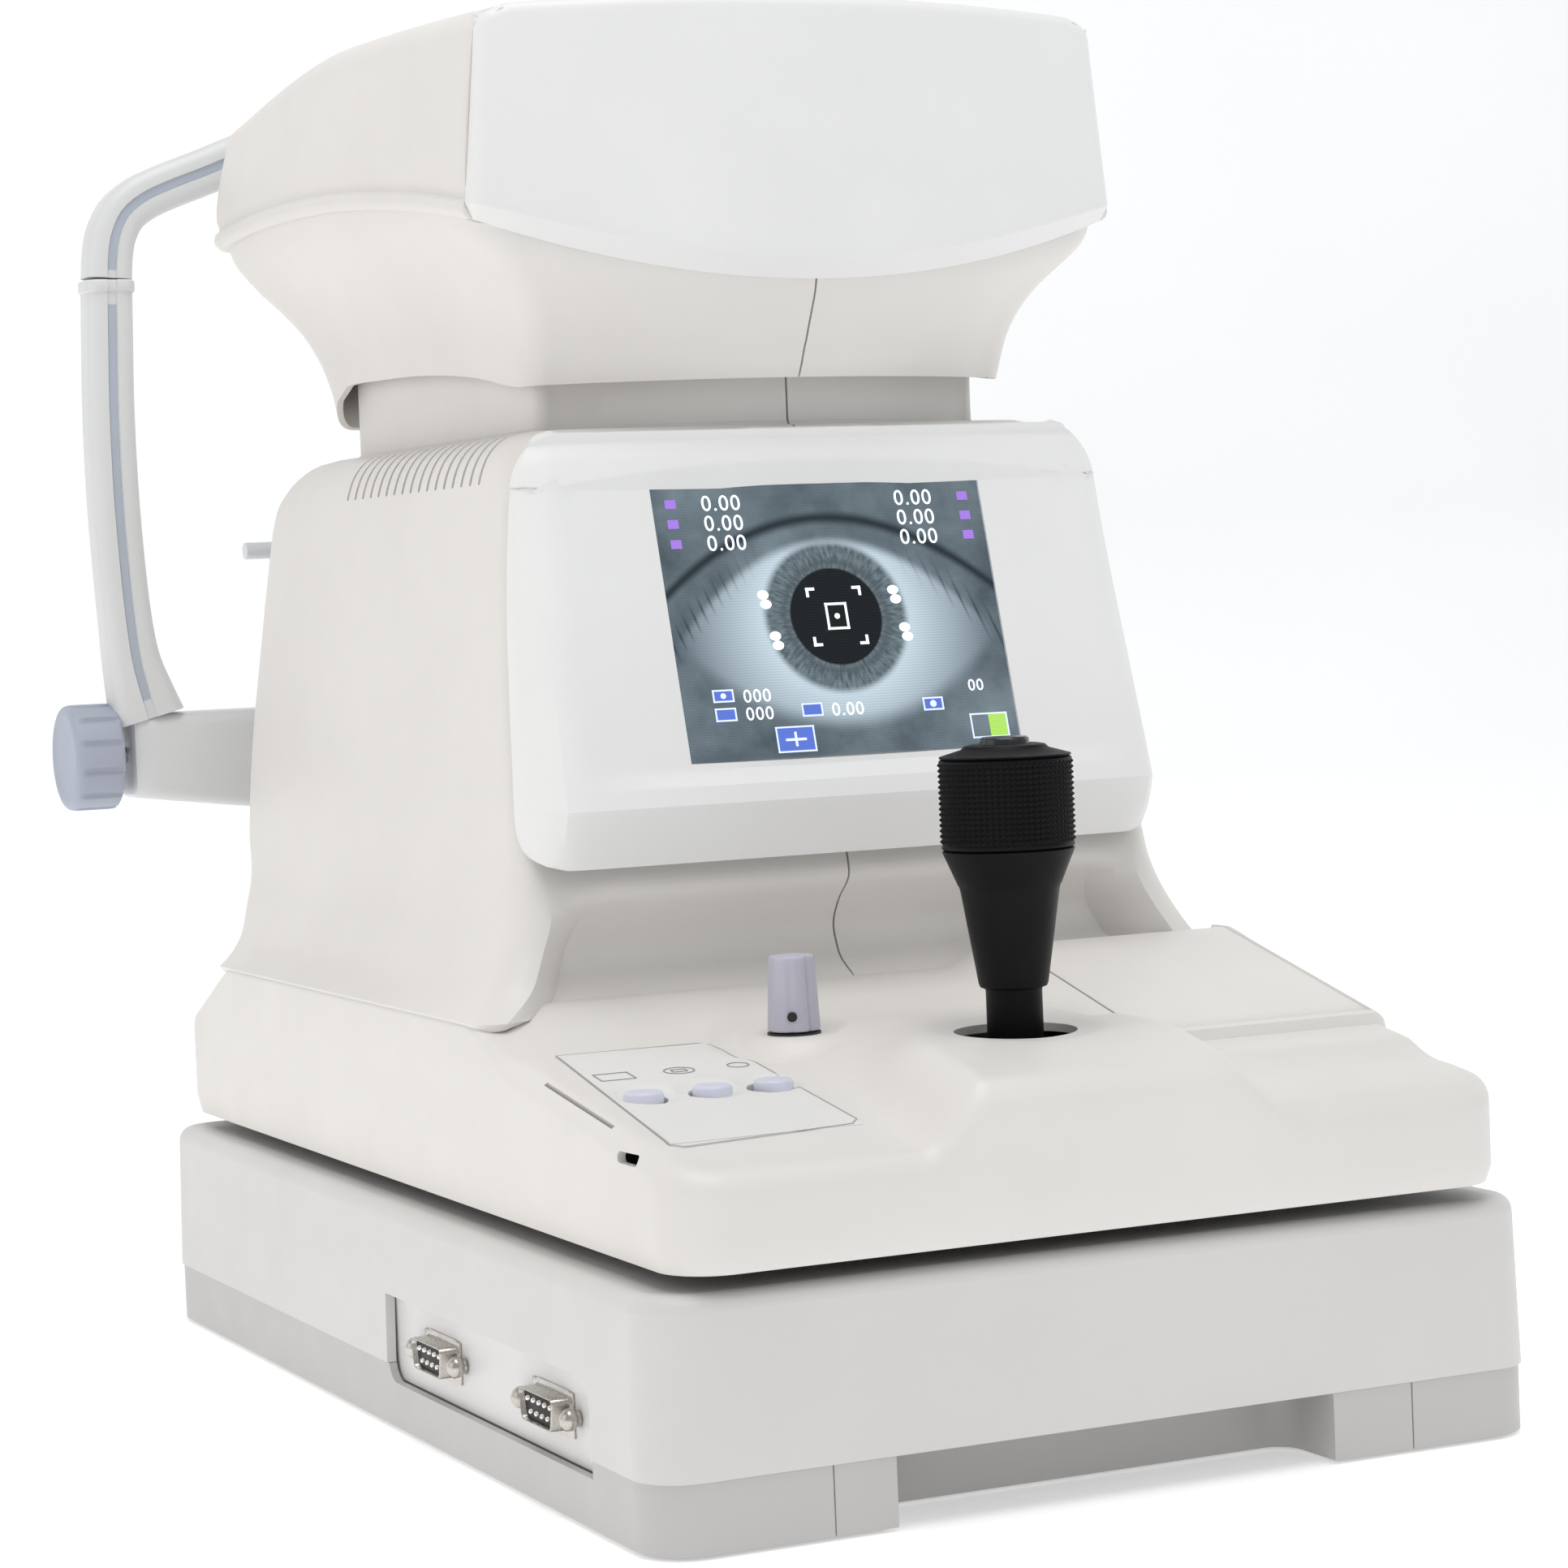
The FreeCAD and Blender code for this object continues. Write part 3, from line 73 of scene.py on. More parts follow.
def curve(keys, at):
    """A smooth line through (position, value) keys, flat beyond both ends."""
    if at <= keys[0][0]:
        return keys[0][1]
    if at >= keys[-1][0]:
        return keys[-1][1]
    index = next(i for i in range(1, len(keys)) if at <= keys[i][0])
    (x0, y0), (x1, y1) = keys[index - 1], keys[index]
    before = keys[index - 2] if index > 1 else keys[index - 1]
    after = keys[index + 1] if index + 1 < len(keys) else keys[index]
    t = (at - x0) / (x1 - x0)
    enter = (y1 - before[1]) / (x1 - before[0]) * (x1 - x0)
    leave = (after[1] - y0) / (after[0] - x0) * (x1 - x0)
    return ((2 * t ** 3 - 3 * t ** 2 + 1) * y0 + (t ** 3 - 2 * t ** 2 + t) * enter
            + (3 * t ** 2 - 2 * t ** 3) * y1 + (t ** 3 - t ** 2) * leave)


def spread(low, high, count):
    """Evenly spaced numbers from low to high."""
    return [mix(low, high, i / (count - 1)) for i in range(count)]


def mm(node):
    """A CAD node's low and high corners, in millimetres."""
    low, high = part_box(node)
    return low / MM, high / MM


# ---------------------------------------------------------------- meshes

def mesh_object(name, points, faces):
    mesh = bpy.data.meshes.new(name)
    mesh.from_pydata([Vector(p) * MM for p in points], [], faces)
    mesh.update()
    obj = bpy.data.objects.new(name, mesh)
    scene.collection.objects.link(obj)
    return obj


def grid_faces(rows, columns, closed=False, start=0):
    """Quads between rows of points; closed joins each row's end to its beginning."""
    faces = []
    wrap = columns if closed else columns - 1
    for r in range(rows - 1):
        for c in range(wrap):
            a = start + r * columns + c
            b = start + r * columns + (c + 1) % columns
            faces.append((a, b, b + columns, a + columns))
    return faces


def grid(name, rows, closed=False, caps=False):
    """A mesh through rows of points, with flat ends if caps is set."""
    points = [p for row in rows for p in row]
    count = len(rows[0])
    faces = grid_faces(len(rows), count, closed)
    if caps:
        faces.append(tuple(range(count)))
        faces.append(tuple(reversed(range(len(points) - count, len(points)))))
    obj = mesh_object(name, points, faces)
    face_out(obj)
    return obj


def face_out(obj):
    """Turn a mesh's faces outwards."""
    work = bmesh.new()
    work.from_mesh(obj.data)
    bmesh.ops.remove_doubles(work, verts=work.verts, dist=0.00001)
    bmesh.ops.recalc_face_normals(work, faces=work.faces)
    middle = sum((v.co for v in work.verts), Vector()) / len(work.verts)
    outward = sum(f.normal.dot(f.calc_center_median() - middle) * f.calc_area() for f in work.faces)
    if outward < 0:
        bmesh.ops.reverse_faces(work, faces=work.faces)
    work.to_mesh(obj.data)
    work.free()


def face_way(obj, direction):
    """Turn an open surface so that most of it faces a direction."""
    direction = Vector(direction)
    if sum(p.normal.dot(direction) * p.area for p in obj.data.polygons) < 0:
        obj.data.flip_normals()


def settle(obj):
    """Turn an object's modifiers into its mesh."""
    graph = bpy.context.evaluated_depsgraph_get()
    mesh = bpy.data.meshes.new_from_object(obj.evaluated_get(graph))
    obj.modifiers.clear()
    obj.data = mesh
    return obj


def thicken(obj, wall):
    """Give a surface a wall, inwards."""
    shell = obj.modifiers.new("wall", "SOLIDIFY")
    shell.thickness = wall * MM
    shell.offset = -1
    return settle(obj)


def soften(obj, width, segments=3, angle=40):
    """Round the sharp edges of a mesh."""
    edge = obj.modifiers.new("edge", "BEVEL")
    edge.width = width * MM
    edge.segments = segments
    edge.limit_method = "ANGLE"
    edge.angle_limit = math.radians(angle)
    edge.harden_normals = False
    return settle(obj)


def cut(obj, *others, operation="DIFFERENCE"):
    """Take closed meshes out of another, or fuse them with it."""
    for other in others:
        tool = obj.modifiers.new("cut", "BOOLEAN")
        tool.object = other
        tool.operation = operation
        tool.solver = "EXACT"
        settle(obj)
        bpy.data.objects.remove(other)
    return obj


def join(name, objects):
    """One object from several."""
    work = bmesh.new()
    for obj in objects:
        mesh = obj.data
        mesh.transform(obj.matrix_world)
        work.from_mesh(mesh)
        bpy.data.objects.remove(obj)
    mesh = bpy.data.meshes.new(name)
    work.to_mesh(mesh)
    work.free()
    joined = bpy.data.objects.new(name, mesh)
    scene.collection.objects.link(joined)
    return joined


def revolve(name, profile, centre, axis="Z", steps=64):
    """A turned piece from (radius, distance along the axis) points."""
    rows = []
    for radius, along in profile:
        row = []
        for i in range(steps):
            turn = 2 * math.pi * i / steps
            a, b = radius * math.cos(turn), radius * math.sin(turn)
            offset = {"X": (along, a, b), "Y": (b, along, a), "Z": (a, b, along)}[axis]
            row.append(Vector(centre) + Vector(offset))
        rows.append(row)
    return grid(name, rows, closed=True, caps=True)


def rounded_box(name, low, high, radius, segments=3):
    """A box with rounded edges."""
    work = bmesh.new()
    bmesh.ops.create_cube(work, size=1)
    size = Vector(high) - Vector(low)
    for v in work.verts:
        v.co = Vector(low) * MM + Vector((v.co[i] + 0.5) * size[i] for i in range(3)) * MM
    if radius:
        bmesh.ops.bevel(work, geom=work.edges[:], offset=radius * MM, segments=segments,
                        profile=0.5, affect="EDGES")
    mesh = bpy.data.meshes.new(name)
    work.to_mesh(mesh)
    work.free()
    obj = bpy.data.objects.new(name, mesh)
    scene.collection.objects.link(obj)
    return obj


def cylinder(name, radius, low, high, centre, axis):
    return revolve(name, [(radius, low), (radius, high)], centre, axis, 48)


def plan_ring(z, half, back, radius, front, count=(30, 7, 16)):
    """A closed plan outline: the front follows a function of x, the other sides are straight."""
    along, corner, side = count
    inner = half - radius
    near, far = front(inner) + radius, back - radius

    def arc(centre_x, centre_y, start):
        turns = [start + math.pi / 2 * i / corner for i in range(1, corner)]
        return [(centre_x + radius * math.cos(turn), centre_y + radius * math.sin(turn), z)
                for turn in turns]

    return ([(x, front(x), z) for x in spread(-inner, inner, along)]
            + arc(inner, near, -math.pi / 2)
            + [(half, y, z) for y in spread(near, far, side)]
            + arc(inner, far, 0)
            + [(x, back, z) for x in spread(inner, -inner, along)]
            + arc(-inner, far, math.pi / 2)
            + [(-half, y, z) for y in spread(far, near, side)]
            + arc(-inner, near, math.pi))


def side_cutter(side):
    """A big block on the far side of the middle plane, that leaves one half of a shell."""
    low, high = (-FAR, SEAM_GAP) if side > 0 else (-SEAM_GAP, FAR)
    return rounded_box("far", (low, -FAR, -50), (high, FAR, 600), 0)


# ---------------------------------------------------------------- materials

class Nodes:
    """A material with a few helpers for its nodes."""

    def __init__(self, name):
        self.material = bpy.data.materials.new(name)
        self.material.use_nodes = True
        self.tree = self.material.node_tree
        self.shader = self.tree.nodes["Principled BSDF"]
        place = self.add("ShaderNodeTexCoord")
        self.where = place.outputs["Object"]

    def add(self, kind, **fields):
        node = self.tree.nodes.new(kind)
        for field, value in fields.items():
            setattr(node, field, value)
        return node

    def link(self, a, b):
        self.tree.links.new(a, b)

    def noise(self, scale, detail=4.0, rough=0.55):
        node = self.add("ShaderNodeTexNoise")
        node.inputs["Scale"].default_value = scale
        node.inputs["Detail"].default_value = detail
        node.inputs["Roughness"].default_value = rough
        self.link(self.where, node.inputs["Vector"])
        return node.outputs["Fac"]

    def math(self, operation, a, b=None, c=None):
        node = self.add("ShaderNodeMath", operation=operation)
        for socket, value in zip(node.inputs, (a, b, c)):
            if value is None:
                continue
            if isinstance(value, (int, float)):
                socket.default_value = value
            else:
                self.link(value, socket)
        return node.outputs[0]

    def span(self, value, low, high, to_low=0.0, to_high=1.0, kind="LINEAR"):
        node = self.add("ShaderNodeMapRange", interpolation_type=kind)
        self.link(value, node.inputs["Value"])
        node.inputs["From Min"].default_value = low
        node.inputs["From Max"].default_value = high
        node.inputs["To Min"].default_value = to_low
        node.inputs["To Max"].default_value = to_high
        return node.outputs["Result"]

    def blend(self, factor, a, b):
        """A colour between two, each an RGB triple or a socket."""
        node = self.add("ShaderNodeMix", data_type="RGBA")
        self.link(factor, node.inputs["Factor"])
        for socket, value in ((node.inputs[6], a), (node.inputs[7], b)):
            if isinstance(value, tuple):
                socket.default_value = (*value, 1)
            else:
                self.link(value, socket)
        return node.outputs[2]

    def bump(self, height, strength, distance):
        node = self.add("ShaderNodeBump")
        node.inputs["Strength"].default_value = strength
        node.inputs["Distance"].default_value = distance
        self.link(height, node.inputs["Height"])
        self.link(node.outputs["Normal"], self.shader.inputs["Normal"])


def tint(colour, factor):
    return tuple(clamp(c * factor) for c in colour)


def moulded(name, colour, rough=0.42, grain=1700, depth=0.00004, specular=0.45, spots=0.02):
    """Moulded plastic: fine spark grain, faint mottling and uneven gloss."""
    nodes = Nodes(name)
    broad = nodes.span(nodes.noise(14, 3), 0.35, 0.65)
    fine = nodes.noise(grain, 2)
    colour_out = nodes.blend(broad, tint(colour, 1 - spots), tint(colour, 1 + spots * 0.6))
    specks = nodes.span(nodes.noise(grain * 0.55, 1), 0.72, 0.80)
    colour_out = nodes.blend(nodes.math("MULTIPLY", specks, 0.10), colour_out, tint(colour, 0.8))
    nodes.link(colour_out, nodes.shader.inputs["Base Color"])
    nodes.link(nodes.span(nodes.noise(60, 4), 0.3, 0.7, rough - 0.05, rough + 0.06),
               nodes.shader.inputs["Roughness"])
    nodes.shader.inputs["Specular IOR Level"].default_value = specular
    nodes.bump(fine, 0.5, depth)
    return nodes.material


def metal(name, colour, rough=0.3, stretch=(1, 1, 1), depth=0.00002):
    """Bare or plated metal, with the lines that grinding leaves."""
    nodes = Nodes(name)
    scale = nodes.add("ShaderNodeMapping")
    scale.inputs["Scale"].default_value = stretch
    nodes.link(nodes.where, scale.inputs["Vector"])
    nodes.where = scale.outputs["Vector"]
    lines = nodes.noise(900, 3)
    nodes.link(nodes.blend(nodes.span(nodes.noise(45, 3), 0.3, 0.7), tint(colour, 0.86),
                           tint(colour, 1.08)), nodes.shader.inputs["Base Color"])
    nodes.link(nodes.span(lines, 0.3, 0.7, rough - 0.08, rough + 0.1),
               nodes.shader.inputs["Roughness"])
    nodes.shader.inputs["Metallic"].default_value = 1.0
    nodes.bump(lines, 0.4, depth)
    return nodes.material


def board_material():
    """A circuit board: green resist over faint tracks."""
    nodes = Nodes("circuit_board")
    tracks = nodes.add("ShaderNodeTexBrick")
    tracks.inputs["Scale"].default_value = 160
    tracks.inputs["Mortar Size"].default_value = 0.03
    nodes.link(nodes.where, tracks.inputs["Vector"])
    nodes.link(nodes.blend(tracks.outputs["Fac"], (0.02, 0.12, 0.05), (0.05, 0.22, 0.10)),
               nodes.shader.inputs["Base Color"])
    nodes.shader.inputs["Roughness"].default_value = 0.35
    nodes.bump(tracks.outputs["Fac"], 0.3, 0.00005)
    return nodes.material


def rubber_material(name, colour):
    nodes = Nodes(name)
    nodes.link(nodes.blend(nodes.span(nodes.noise(90), 0.3, 0.7), tint(colour, 0.94),
                           tint(colour, 1.06)), nodes.shader.inputs["Base Color"])
    nodes.link(nodes.span(nodes.noise(300), 0.3, 0.7, 0.62, 0.8), nodes.shader.inputs["Roughness"])
    nodes.bump(nodes.noise(1400), 0.5, 0.00006)
    return nodes.material


def paper_material():
    nodes = Nodes("thermal_paper")
    fibre = nodes.noise(2600, 5)
    nodes.link(nodes.blend(nodes.span(fibre, 0.3, 0.7), (0.86, 0.86, 0.83), (0.93, 0.93, 0.91)),
               nodes.shader.inputs["Base Color"])
    nodes.shader.inputs["Roughness"].default_value = 0.7
    nodes.bump(fibre, 0.3, 0.00003)
    return nodes.material


def window_material():
    """Coated optical glass, dark behind, with a faint uneven film."""
    nodes = Nodes("coated_glass")
    film = nodes.span(nodes.noise(40), 0.3, 0.7)
    nodes.link(nodes.blend(film, (0.010, 0.012, 0.022), (0.018, 0.014, 0.030)),
               nodes.shader.inputs["Base Color"])
    nodes.link(nodes.span(nodes.noise(220), 0.3, 0.7, 0.02, 0.06),
               nodes.shader.inputs["Roughness"])
    nodes.shader.inputs["Coat Weight"].default_value = 1.0
    return nodes.material


def glow(name, colour, strength=0.9):
    """A lit mark on the screen, with faint scan lines."""
    nodes = Nodes(name)
    split = nodes.add("ShaderNodeSeparateXYZ")
    nodes.link(nodes.where, split.inputs[0])
    wave = nodes.math("SINE", nodes.math("MULTIPLY", split.outputs["Z"], 9000.0))
    lines = nodes.span(wave, -1, 1)
    shade = nodes.blend(lines, tint(colour, 0.86), colour)
    nodes.link(shade, nodes.shader.inputs["Base Color"])
    nodes.link(shade, nodes.shader.inputs["Emission Color"])
    nodes.shader.inputs["Emission Strength"].default_value = strength
    nodes.shader.inputs["Roughness"].default_value = 0.3
    return nodes.material


def lids_picture(nodes, square, up, radius):
    """The skin, its crease and the eye's white; also the upper lid's line and what it leaves open."""
    upper = nodes.math("MULTIPLY_ADD", square, -0.0105, 25.0)
    lower = nodes.math("MULTIPLY_ADD", square, 0.0085, -34.0)
    inside_top = nodes.span(nodes.math("SUBTRACT", upper, up), -1.5, 3.0, kind="SMOOTHSTEP")
    inside_low = nodes.span(nodes.math("SUBTRACT", up, lower), -4.0, 4.0, kind="SMOOTHSTEP")
    opened = nodes.math("MULTIPLY", inside_top, inside_low)
    mottle = nodes.span(nodes.noise(45, 5), 0.25, 0.75)
    skin = nodes.blend(mottle, (0.05, 0.075, 0.095), (0.22, 0.28, 0.32))
    crease = nodes.span(nodes.math("ABSOLUTE", nodes.math("SUBTRACT", up, nodes.math(
        "MULTIPLY_ADD", square, -0.0075, 32.0))), 0.0, 3.2, kind="SMOOTHSTEP")
    skin = nodes.blend(crease, (0.018, 0.028, 0.038), skin)
    white = nodes.blend(nodes.span(radius, 26, 56), (0.64, 0.77, 0.86), (0.10, 0.14, 0.17))
    return nodes.blend(opened, skin, white), upper, inside_top


def iris_picture(nodes, picture, across, up, radius, inside_top):
    """The iris, with fibres that run outwards, its dark rim and the pupil."""
    turn = nodes.math("ARCTAN2", up, across)
    spokes = nodes.add("ShaderNodeCombineXYZ")
    nodes.link(nodes.math("MULTIPLY", turn, 9.0), spokes.inputs[0])
    nodes.link(nodes.math("MULTIPLY", radius, 0.12), spokes.inputs[1])
    fibres = nodes.add("ShaderNodeTexNoise")
    fibres.inputs["Scale"].default_value = 2.4
    fibres.inputs["Detail"].default_value = 5
    nodes.link(spokes.outputs[0], fibres.inputs["Vector"])
    iris = nodes.blend(nodes.span(fibres.outputs["Fac"], 0.3, 0.7), (0.07, 0.10, 0.12),
                       (0.22, 0.28, 0.31))
    in_iris = nodes.span(radius, 25.5, 22.5, kind="SMOOTHSTEP")
    picture = nodes.blend(nodes.math("MULTIPLY", in_iris, inside_top), picture, iris)
    rim = nodes.span(nodes.math("ABSOLUTE", nodes.math("SUBTRACT", radius, 17.5)), 2.2, 0.0)
    picture = nodes.blend(nodes.math("MULTIPLY", rim, 0.5), picture, (0.05, 0.07, 0.085))
    in_pupil = nodes.span(radius, 16.0, 15.2, kind="SMOOTHSTEP")
    return nodes.blend(in_pupil, picture, (0.003, 0.005, 0.006))


def lash_picture(nodes, picture, across, up, upper):
    """Lashes that fan out at both ends of the upper lid."""
    wave = nodes.math("SINE", nodes.math("MULTIPLY_ADD", across, 1.7, nodes.math(
        "MULTIPLY", up, 0.55)))
    band = nodes.span(nodes.math("ABSOLUTE", nodes.math("SUBTRACT", up, upper)), 7.0, 0.0)
    side = nodes.span(nodes.math("ABSOLUTE", across), 22.0, 45.0)
    lash = nodes.math("MULTIPLY", nodes.math("MULTIPLY", band, side), nodes.span(wave, 0.5, 1))
    return nodes.blend(nodes.math("MULTIPLY", lash, 0.75), picture, (0.02, 0.03, 0.04))


def lcd_material(centre, tilt):
    """The lit screen: a generic close-up of an eye in blue greys, made of rings, arcs and noise."""
    nodes = Nodes("lcd_picture")
    split = nodes.add("ShaderNodeSeparateXYZ")
    nodes.link(nodes.where, split.inputs[0])
    across = nodes.math("MULTIPLY", split.outputs["X"], 1000.0)
    lift = nodes.math("SUBTRACT", split.outputs["Z"], centre.z)
    up = nodes.math("MULTIPLY", lift, 1000.0 / math.cos(tilt))
    square = nodes.math("MULTIPLY", across, across)
    radius = nodes.math("SQRT", nodes.math("ADD", square, nodes.math("MULTIPLY", up, up)))
    picture, upper, inside_top = lids_picture(nodes, square, up, radius)
    picture = iris_picture(nodes, picture, across, up, radius, inside_top)
    picture = lash_picture(nodes, picture, across, up, upper)
    scan = nodes.span(nodes.math("SINE", nodes.math("MULTIPLY", up, 7.4)), -1, 1)
    picture = nodes.blend(nodes.math("MULTIPLY", scan, 0.16), picture, (0.02, 0.03, 0.04))
    nodes.link(picture, nodes.shader.inputs["Emission Color"])
    nodes.shader.inputs["Emission Strength"].default_value = 0.95
    nodes.link(nodes.blend(scan, (0.006, 0.007, 0.008), (0.010, 0.011, 0.012)),
               nodes.shader.inputs["Base Color"])
    nodes.shader.inputs["Specular IOR Level"].default_value = 0.12
    nodes.shader.inputs["Roughness"].default_value = 0.5
    return nodes.material


SHELL = moulded("shell_plastic", (0.80, 0.772, 0.738))
FRONT = moulded("front_plastic", (0.865, 0.86, 0.85))
BASE = moulded("base_plastic", (0.70, 0.683, 0.662))
SKIRT = moulded("skirt_plastic", (0.555, 0.54, 0.525))
PANEL = moulded("panel_paint", (0.76, 0.755, 0.745), 0.35, 900)
FRAME = moulded("frame_paint", (0.74, 0.745, 0.745), 0.36, 900)
# painted shade: the darker blue-grey of the ribbon along the groove floors of the posts and the bow
GROOVE_SHADE = moulded("groove_shade", (0.47, 0.52, 0.60), 0.5)
LILAC = moulded("knob_lilac", (0.42, 0.45, 0.54), 0.45)
DECK_LILAC = moulded("deck_knob_lilac", (0.55, 0.54, 0.63), 0.42)
KEY = moulded("key_lilac", (0.70, 0.71, 0.83), 0.35)
FILM = moulded("printed_film", (0.80, 0.79, 0.77), 0.5, 2400, 0.00002)
BORDER = moulded("film_border", (0.42, 0.41, 0.42), 0.5)
INK = moulded("printed_ink", (0.30, 0.30, 0.33), 0.5)
GRIP = moulded("grip_black", (0.004, 0.004, 0.005), 0.46, 1500, 0.00003, 0.14, 0.2)
GLOSS = moulded("cap_black", (0.018, 0.018, 0.020), 0.2, 900, 0.00001, 0.6, 0.2)
DARK = moulded("inner_black", (0.02, 0.02, 0.022), 0.5, 1500, 0.00003, 0.4, 0.2)
CHIN = moulded("chin_plastic", (0.76, 0.78, 0.80), 0.4)
STEEL = metal("ground_steel", (0.62, 0.63, 0.64), 0.25)
PLATE = metal("zinc_plate", (0.46, 0.47, 0.48), 0.4)
CAST = metal("cast_aluminium", (0.60, 0.61, 0.62), 0.5, depth=0.00008)
NICKEL = metal("nickel_plate", (0.56, 0.53, 0.49), 0.26)
PIN_METAL = metal("bright_pins", (0.86, 0.84, 0.80), 0.18)
RUBBER = rubber_material("foot_rubber", (0.05, 0.05, 0.052))
PLATEN = rubber_material("platen_rubber", (0.06, 0.06, 0.065))
SOFT = rubber_material("soft_pad", (0.62, 0.65, 0.69))
BOARD = board_material()
PAPER = paper_material()
GLASS = window_material()

CAD_MATERIALS = {
    "shell_white": SHELL, "front_white": FRONT, "base_white": BASE, "skirt_grey": SKIRT,
    "panel_white": PANEL, "frame_white": FRAME, "knob_lilac": LILAC, "grip_black": GRIP,
    "button_black": GLOSS, "foot_rubber": RUBBER, "platen_rubber": PLATEN, "pad_soft": SOFT,
    "chin_plastic": CHIN, "plate_steel": PLATE, "shaft_steel": STEEL, "nickel": NICKEL,
    "cast_metal": CAST, "insert_black": DARK, "socket_black": DARK, "circuit_green": BOARD,
    "motor_black": DARK, "paper_white": PAPER, "lens_glass": GLASS, "window_black": DARK,
    "key_lilac": KEY, "overlay_white": FILM,
}


def paint(obj, material, angle=38):
    """Give an object one material and smooth shading that keeps its sharp edges."""
    obj.data.materials.clear()
    obj.data.materials.append(material)
    obj.data.shade_smooth()
    obj.data.set_sharp_from_angle(angle=math.radians(angle))
    return obj


def piece(obj, body, slot, material, *nodes, angle=38):
    """A finished visible piece on a body, which may stand for CAD nodes."""
    paint(obj, material, angle)
    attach(obj, body)
    if nodes:
        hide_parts(*nodes)
    return obj


def make_halves(shell, body, nodes, angle, *more_cutters):
    """A shell split down the middle into a left and a right piece."""
    for side, node in zip((-1, 1), nodes):
        part = shell.copy()
        part.data = shell.data.copy()
        scene.collection.objects.link(part)
        part.name = node + "_shell"
        cut(part, side_cutter(side), *(cutter(side) for cutter in more_cutters))
        piece(part, body, "shell_white", SHELL, node, angle=angle)
    bpy.data.objects.remove(shell)


# ---------------------------------------------------------------- column

# height, half width, front corner, front middle, back, corner radius
COLUMN = [
    (129.7, 131.0, -84, -70.0, 184, 9), (133, 126.5, -80, -66.0, 187, 10),
    (138, 121.5, -76, -57.5, 192, 11), (142, 119.0, -74, -54.5, 195, 11),
    (149, 115.5, -71, -52.6, 201, 11), (157, 112.0, -69, -57.5, 206, 11),
    (164, 110.2, -66.5, -65.0, 209, 10), (172, 109.0, -64, -64.0, 212, 8),
    (190, 107.6, -58.5, -58.5, 212, 7), (212, 106.2, -54.8, -54.8, 209, 7),
    (240, 104.3, -51.0, -51.0, 202, 7), (268, 102.2, -48.9, -48.9, 195, 7),
    (288, 100.4, -48.5, -48.5, 189, 8), (296, 98.0, -46.5, -46.5, 184, 12),
    (301, 94.5, -43.5, -43.5, 178, 14), (304, 90.0, -40.5, -40.5, 172, 14),
    (305.3, 84.5, -37.5, -37.5, 167, 12),
]


def column_value(height, index):
    return curve([(row[0], row[index]) for row in COLUMN], height)


def column_ring(height, inset=0.0):
    half, corner, middle, back, radius = (column_value(height, i) for i in range(1, 6))

    def front(x):
        pillar = smooth(abs(x), half - 27, half - 12)
        return mix(middle, corner, pillar) + inset
    return plan_ring(height, half - inset, back - inset, max(radius - inset, 2), front)


def collar_front(x):
    return mix(-34, -12, (abs(x) / 77) ** 2.3)


def make_column():
    heights = spread(129.7, 172, 22) + spread(176, 288, 18) + spread(290, 305.3, 12)
    rows = [column_ring(z) for z in heights]
    top = heights[-1]
    rows.append(plan_ring(top + 0.3, 78.2, 161, 6, lambda x: collar_front(x) - 0.9))
    for z in (top + 1.6, 319, 337):
        rows.append(plan_ring(z, 77, 160, 5, collar_front))
    shell = grid("column", rows, closed=True)
    thicken(shell, 2.6)
    window = rounded_box("window", (-96, -95, 184), (96, -20, 292), 0)
    cut(shell, window)
    make_halves(shell, "stage", ("column_left", "column_right"), 32, slot_row)


def slot_row(side):
    """Seventeen slots that run over the shoulder from the side wall to the top."""
    slots = []
    for i in range(17):
        y = mix(-22, 104, i / 16)
        slot = rounded_box("slot", (-11, -1.0, -5), (11, 1.0, 5), 0.6, 2)
        slot.data.transform(Matrix.Rotation(math.radians(side * 50), 4, "Y"))
        slot.data.transform(Matrix.Translation(Vector((side * 95.5, y, 300)) * MM))
        slots.append(slot)
    return join("slots", slots)


# ---------------------------------------------------------------- monitor

TILT = math.radians(15.75)
SCREEN_MIDDLE = Vector((0, -64, 244.6))
UP_SCREEN = Vector((0, math.sin(TILT), math.cos(TILT)))
OUT_SCREEN = Vector((0, -math.cos(TILT), math.sin(TILT)))


WINDOW_W, WINDOW_H = 57.8, 43.4     # half sizes of the opening round the screen
BEZEL_LOW, BEZEL_TOP = 172.4, 303.6


def on_screen(across, up, out=0.0):
    """A point by its place on the tilted screen."""
    return SCREEN_MIDDLE + Vector((across, 0, 0)) + UP_SCREEN * up + OUT_SCREEN * out


BEZEL_HALF = [(172.4, 96.5), (173.0, 99.6), (174.5, 102.6), (177, 104.9), (181, 106.4),
              (187, 106.8), (215, 105.6), (250, 103.4), (288, 100.3), (293, 98.9), (297, 96.6),
              (300, 93.6), (302.3, 89.8), (303.6, 84.0)]
BEZEL_SEAM = [(172.4, -72.5), (178, -60.5), (205, -55.8), (228, -52.6), (256, -49.3), (303.6, -48.9)]


def bezel_face(z):
    """The y of the face before its edges are rounded."""
    plane = SCREEN_MIDDLE.y + (z - SCREEN_MIDDLE.z) * math.tan(TILT) - 3.2 / math.cos(TILT)
    if z < 190:
        return plane + (190 - z) * 0.72
    return plane + 5.0 * smooth(z, 292, 304) ** 2


def dish_edge(across):
    """How far up the screen's plane the dish's upper edge is: a low arch over the window."""
    return 44.6 + 6.6 * max(1 - (across / 86) ** 2, 0.0)


def dish_depth(across, up):
    """The depth of the shallow dish round the window, which runs out towards the sides."""
    fade = max(1 - (across / 92) ** 2, 0.0)
    top = dish_edge(across)
    above = clamp((top - up) / (top - WINDOW_H))
    below = clamp((up + 51.0) / 5.5)
    return 4.0 * fade * above * below


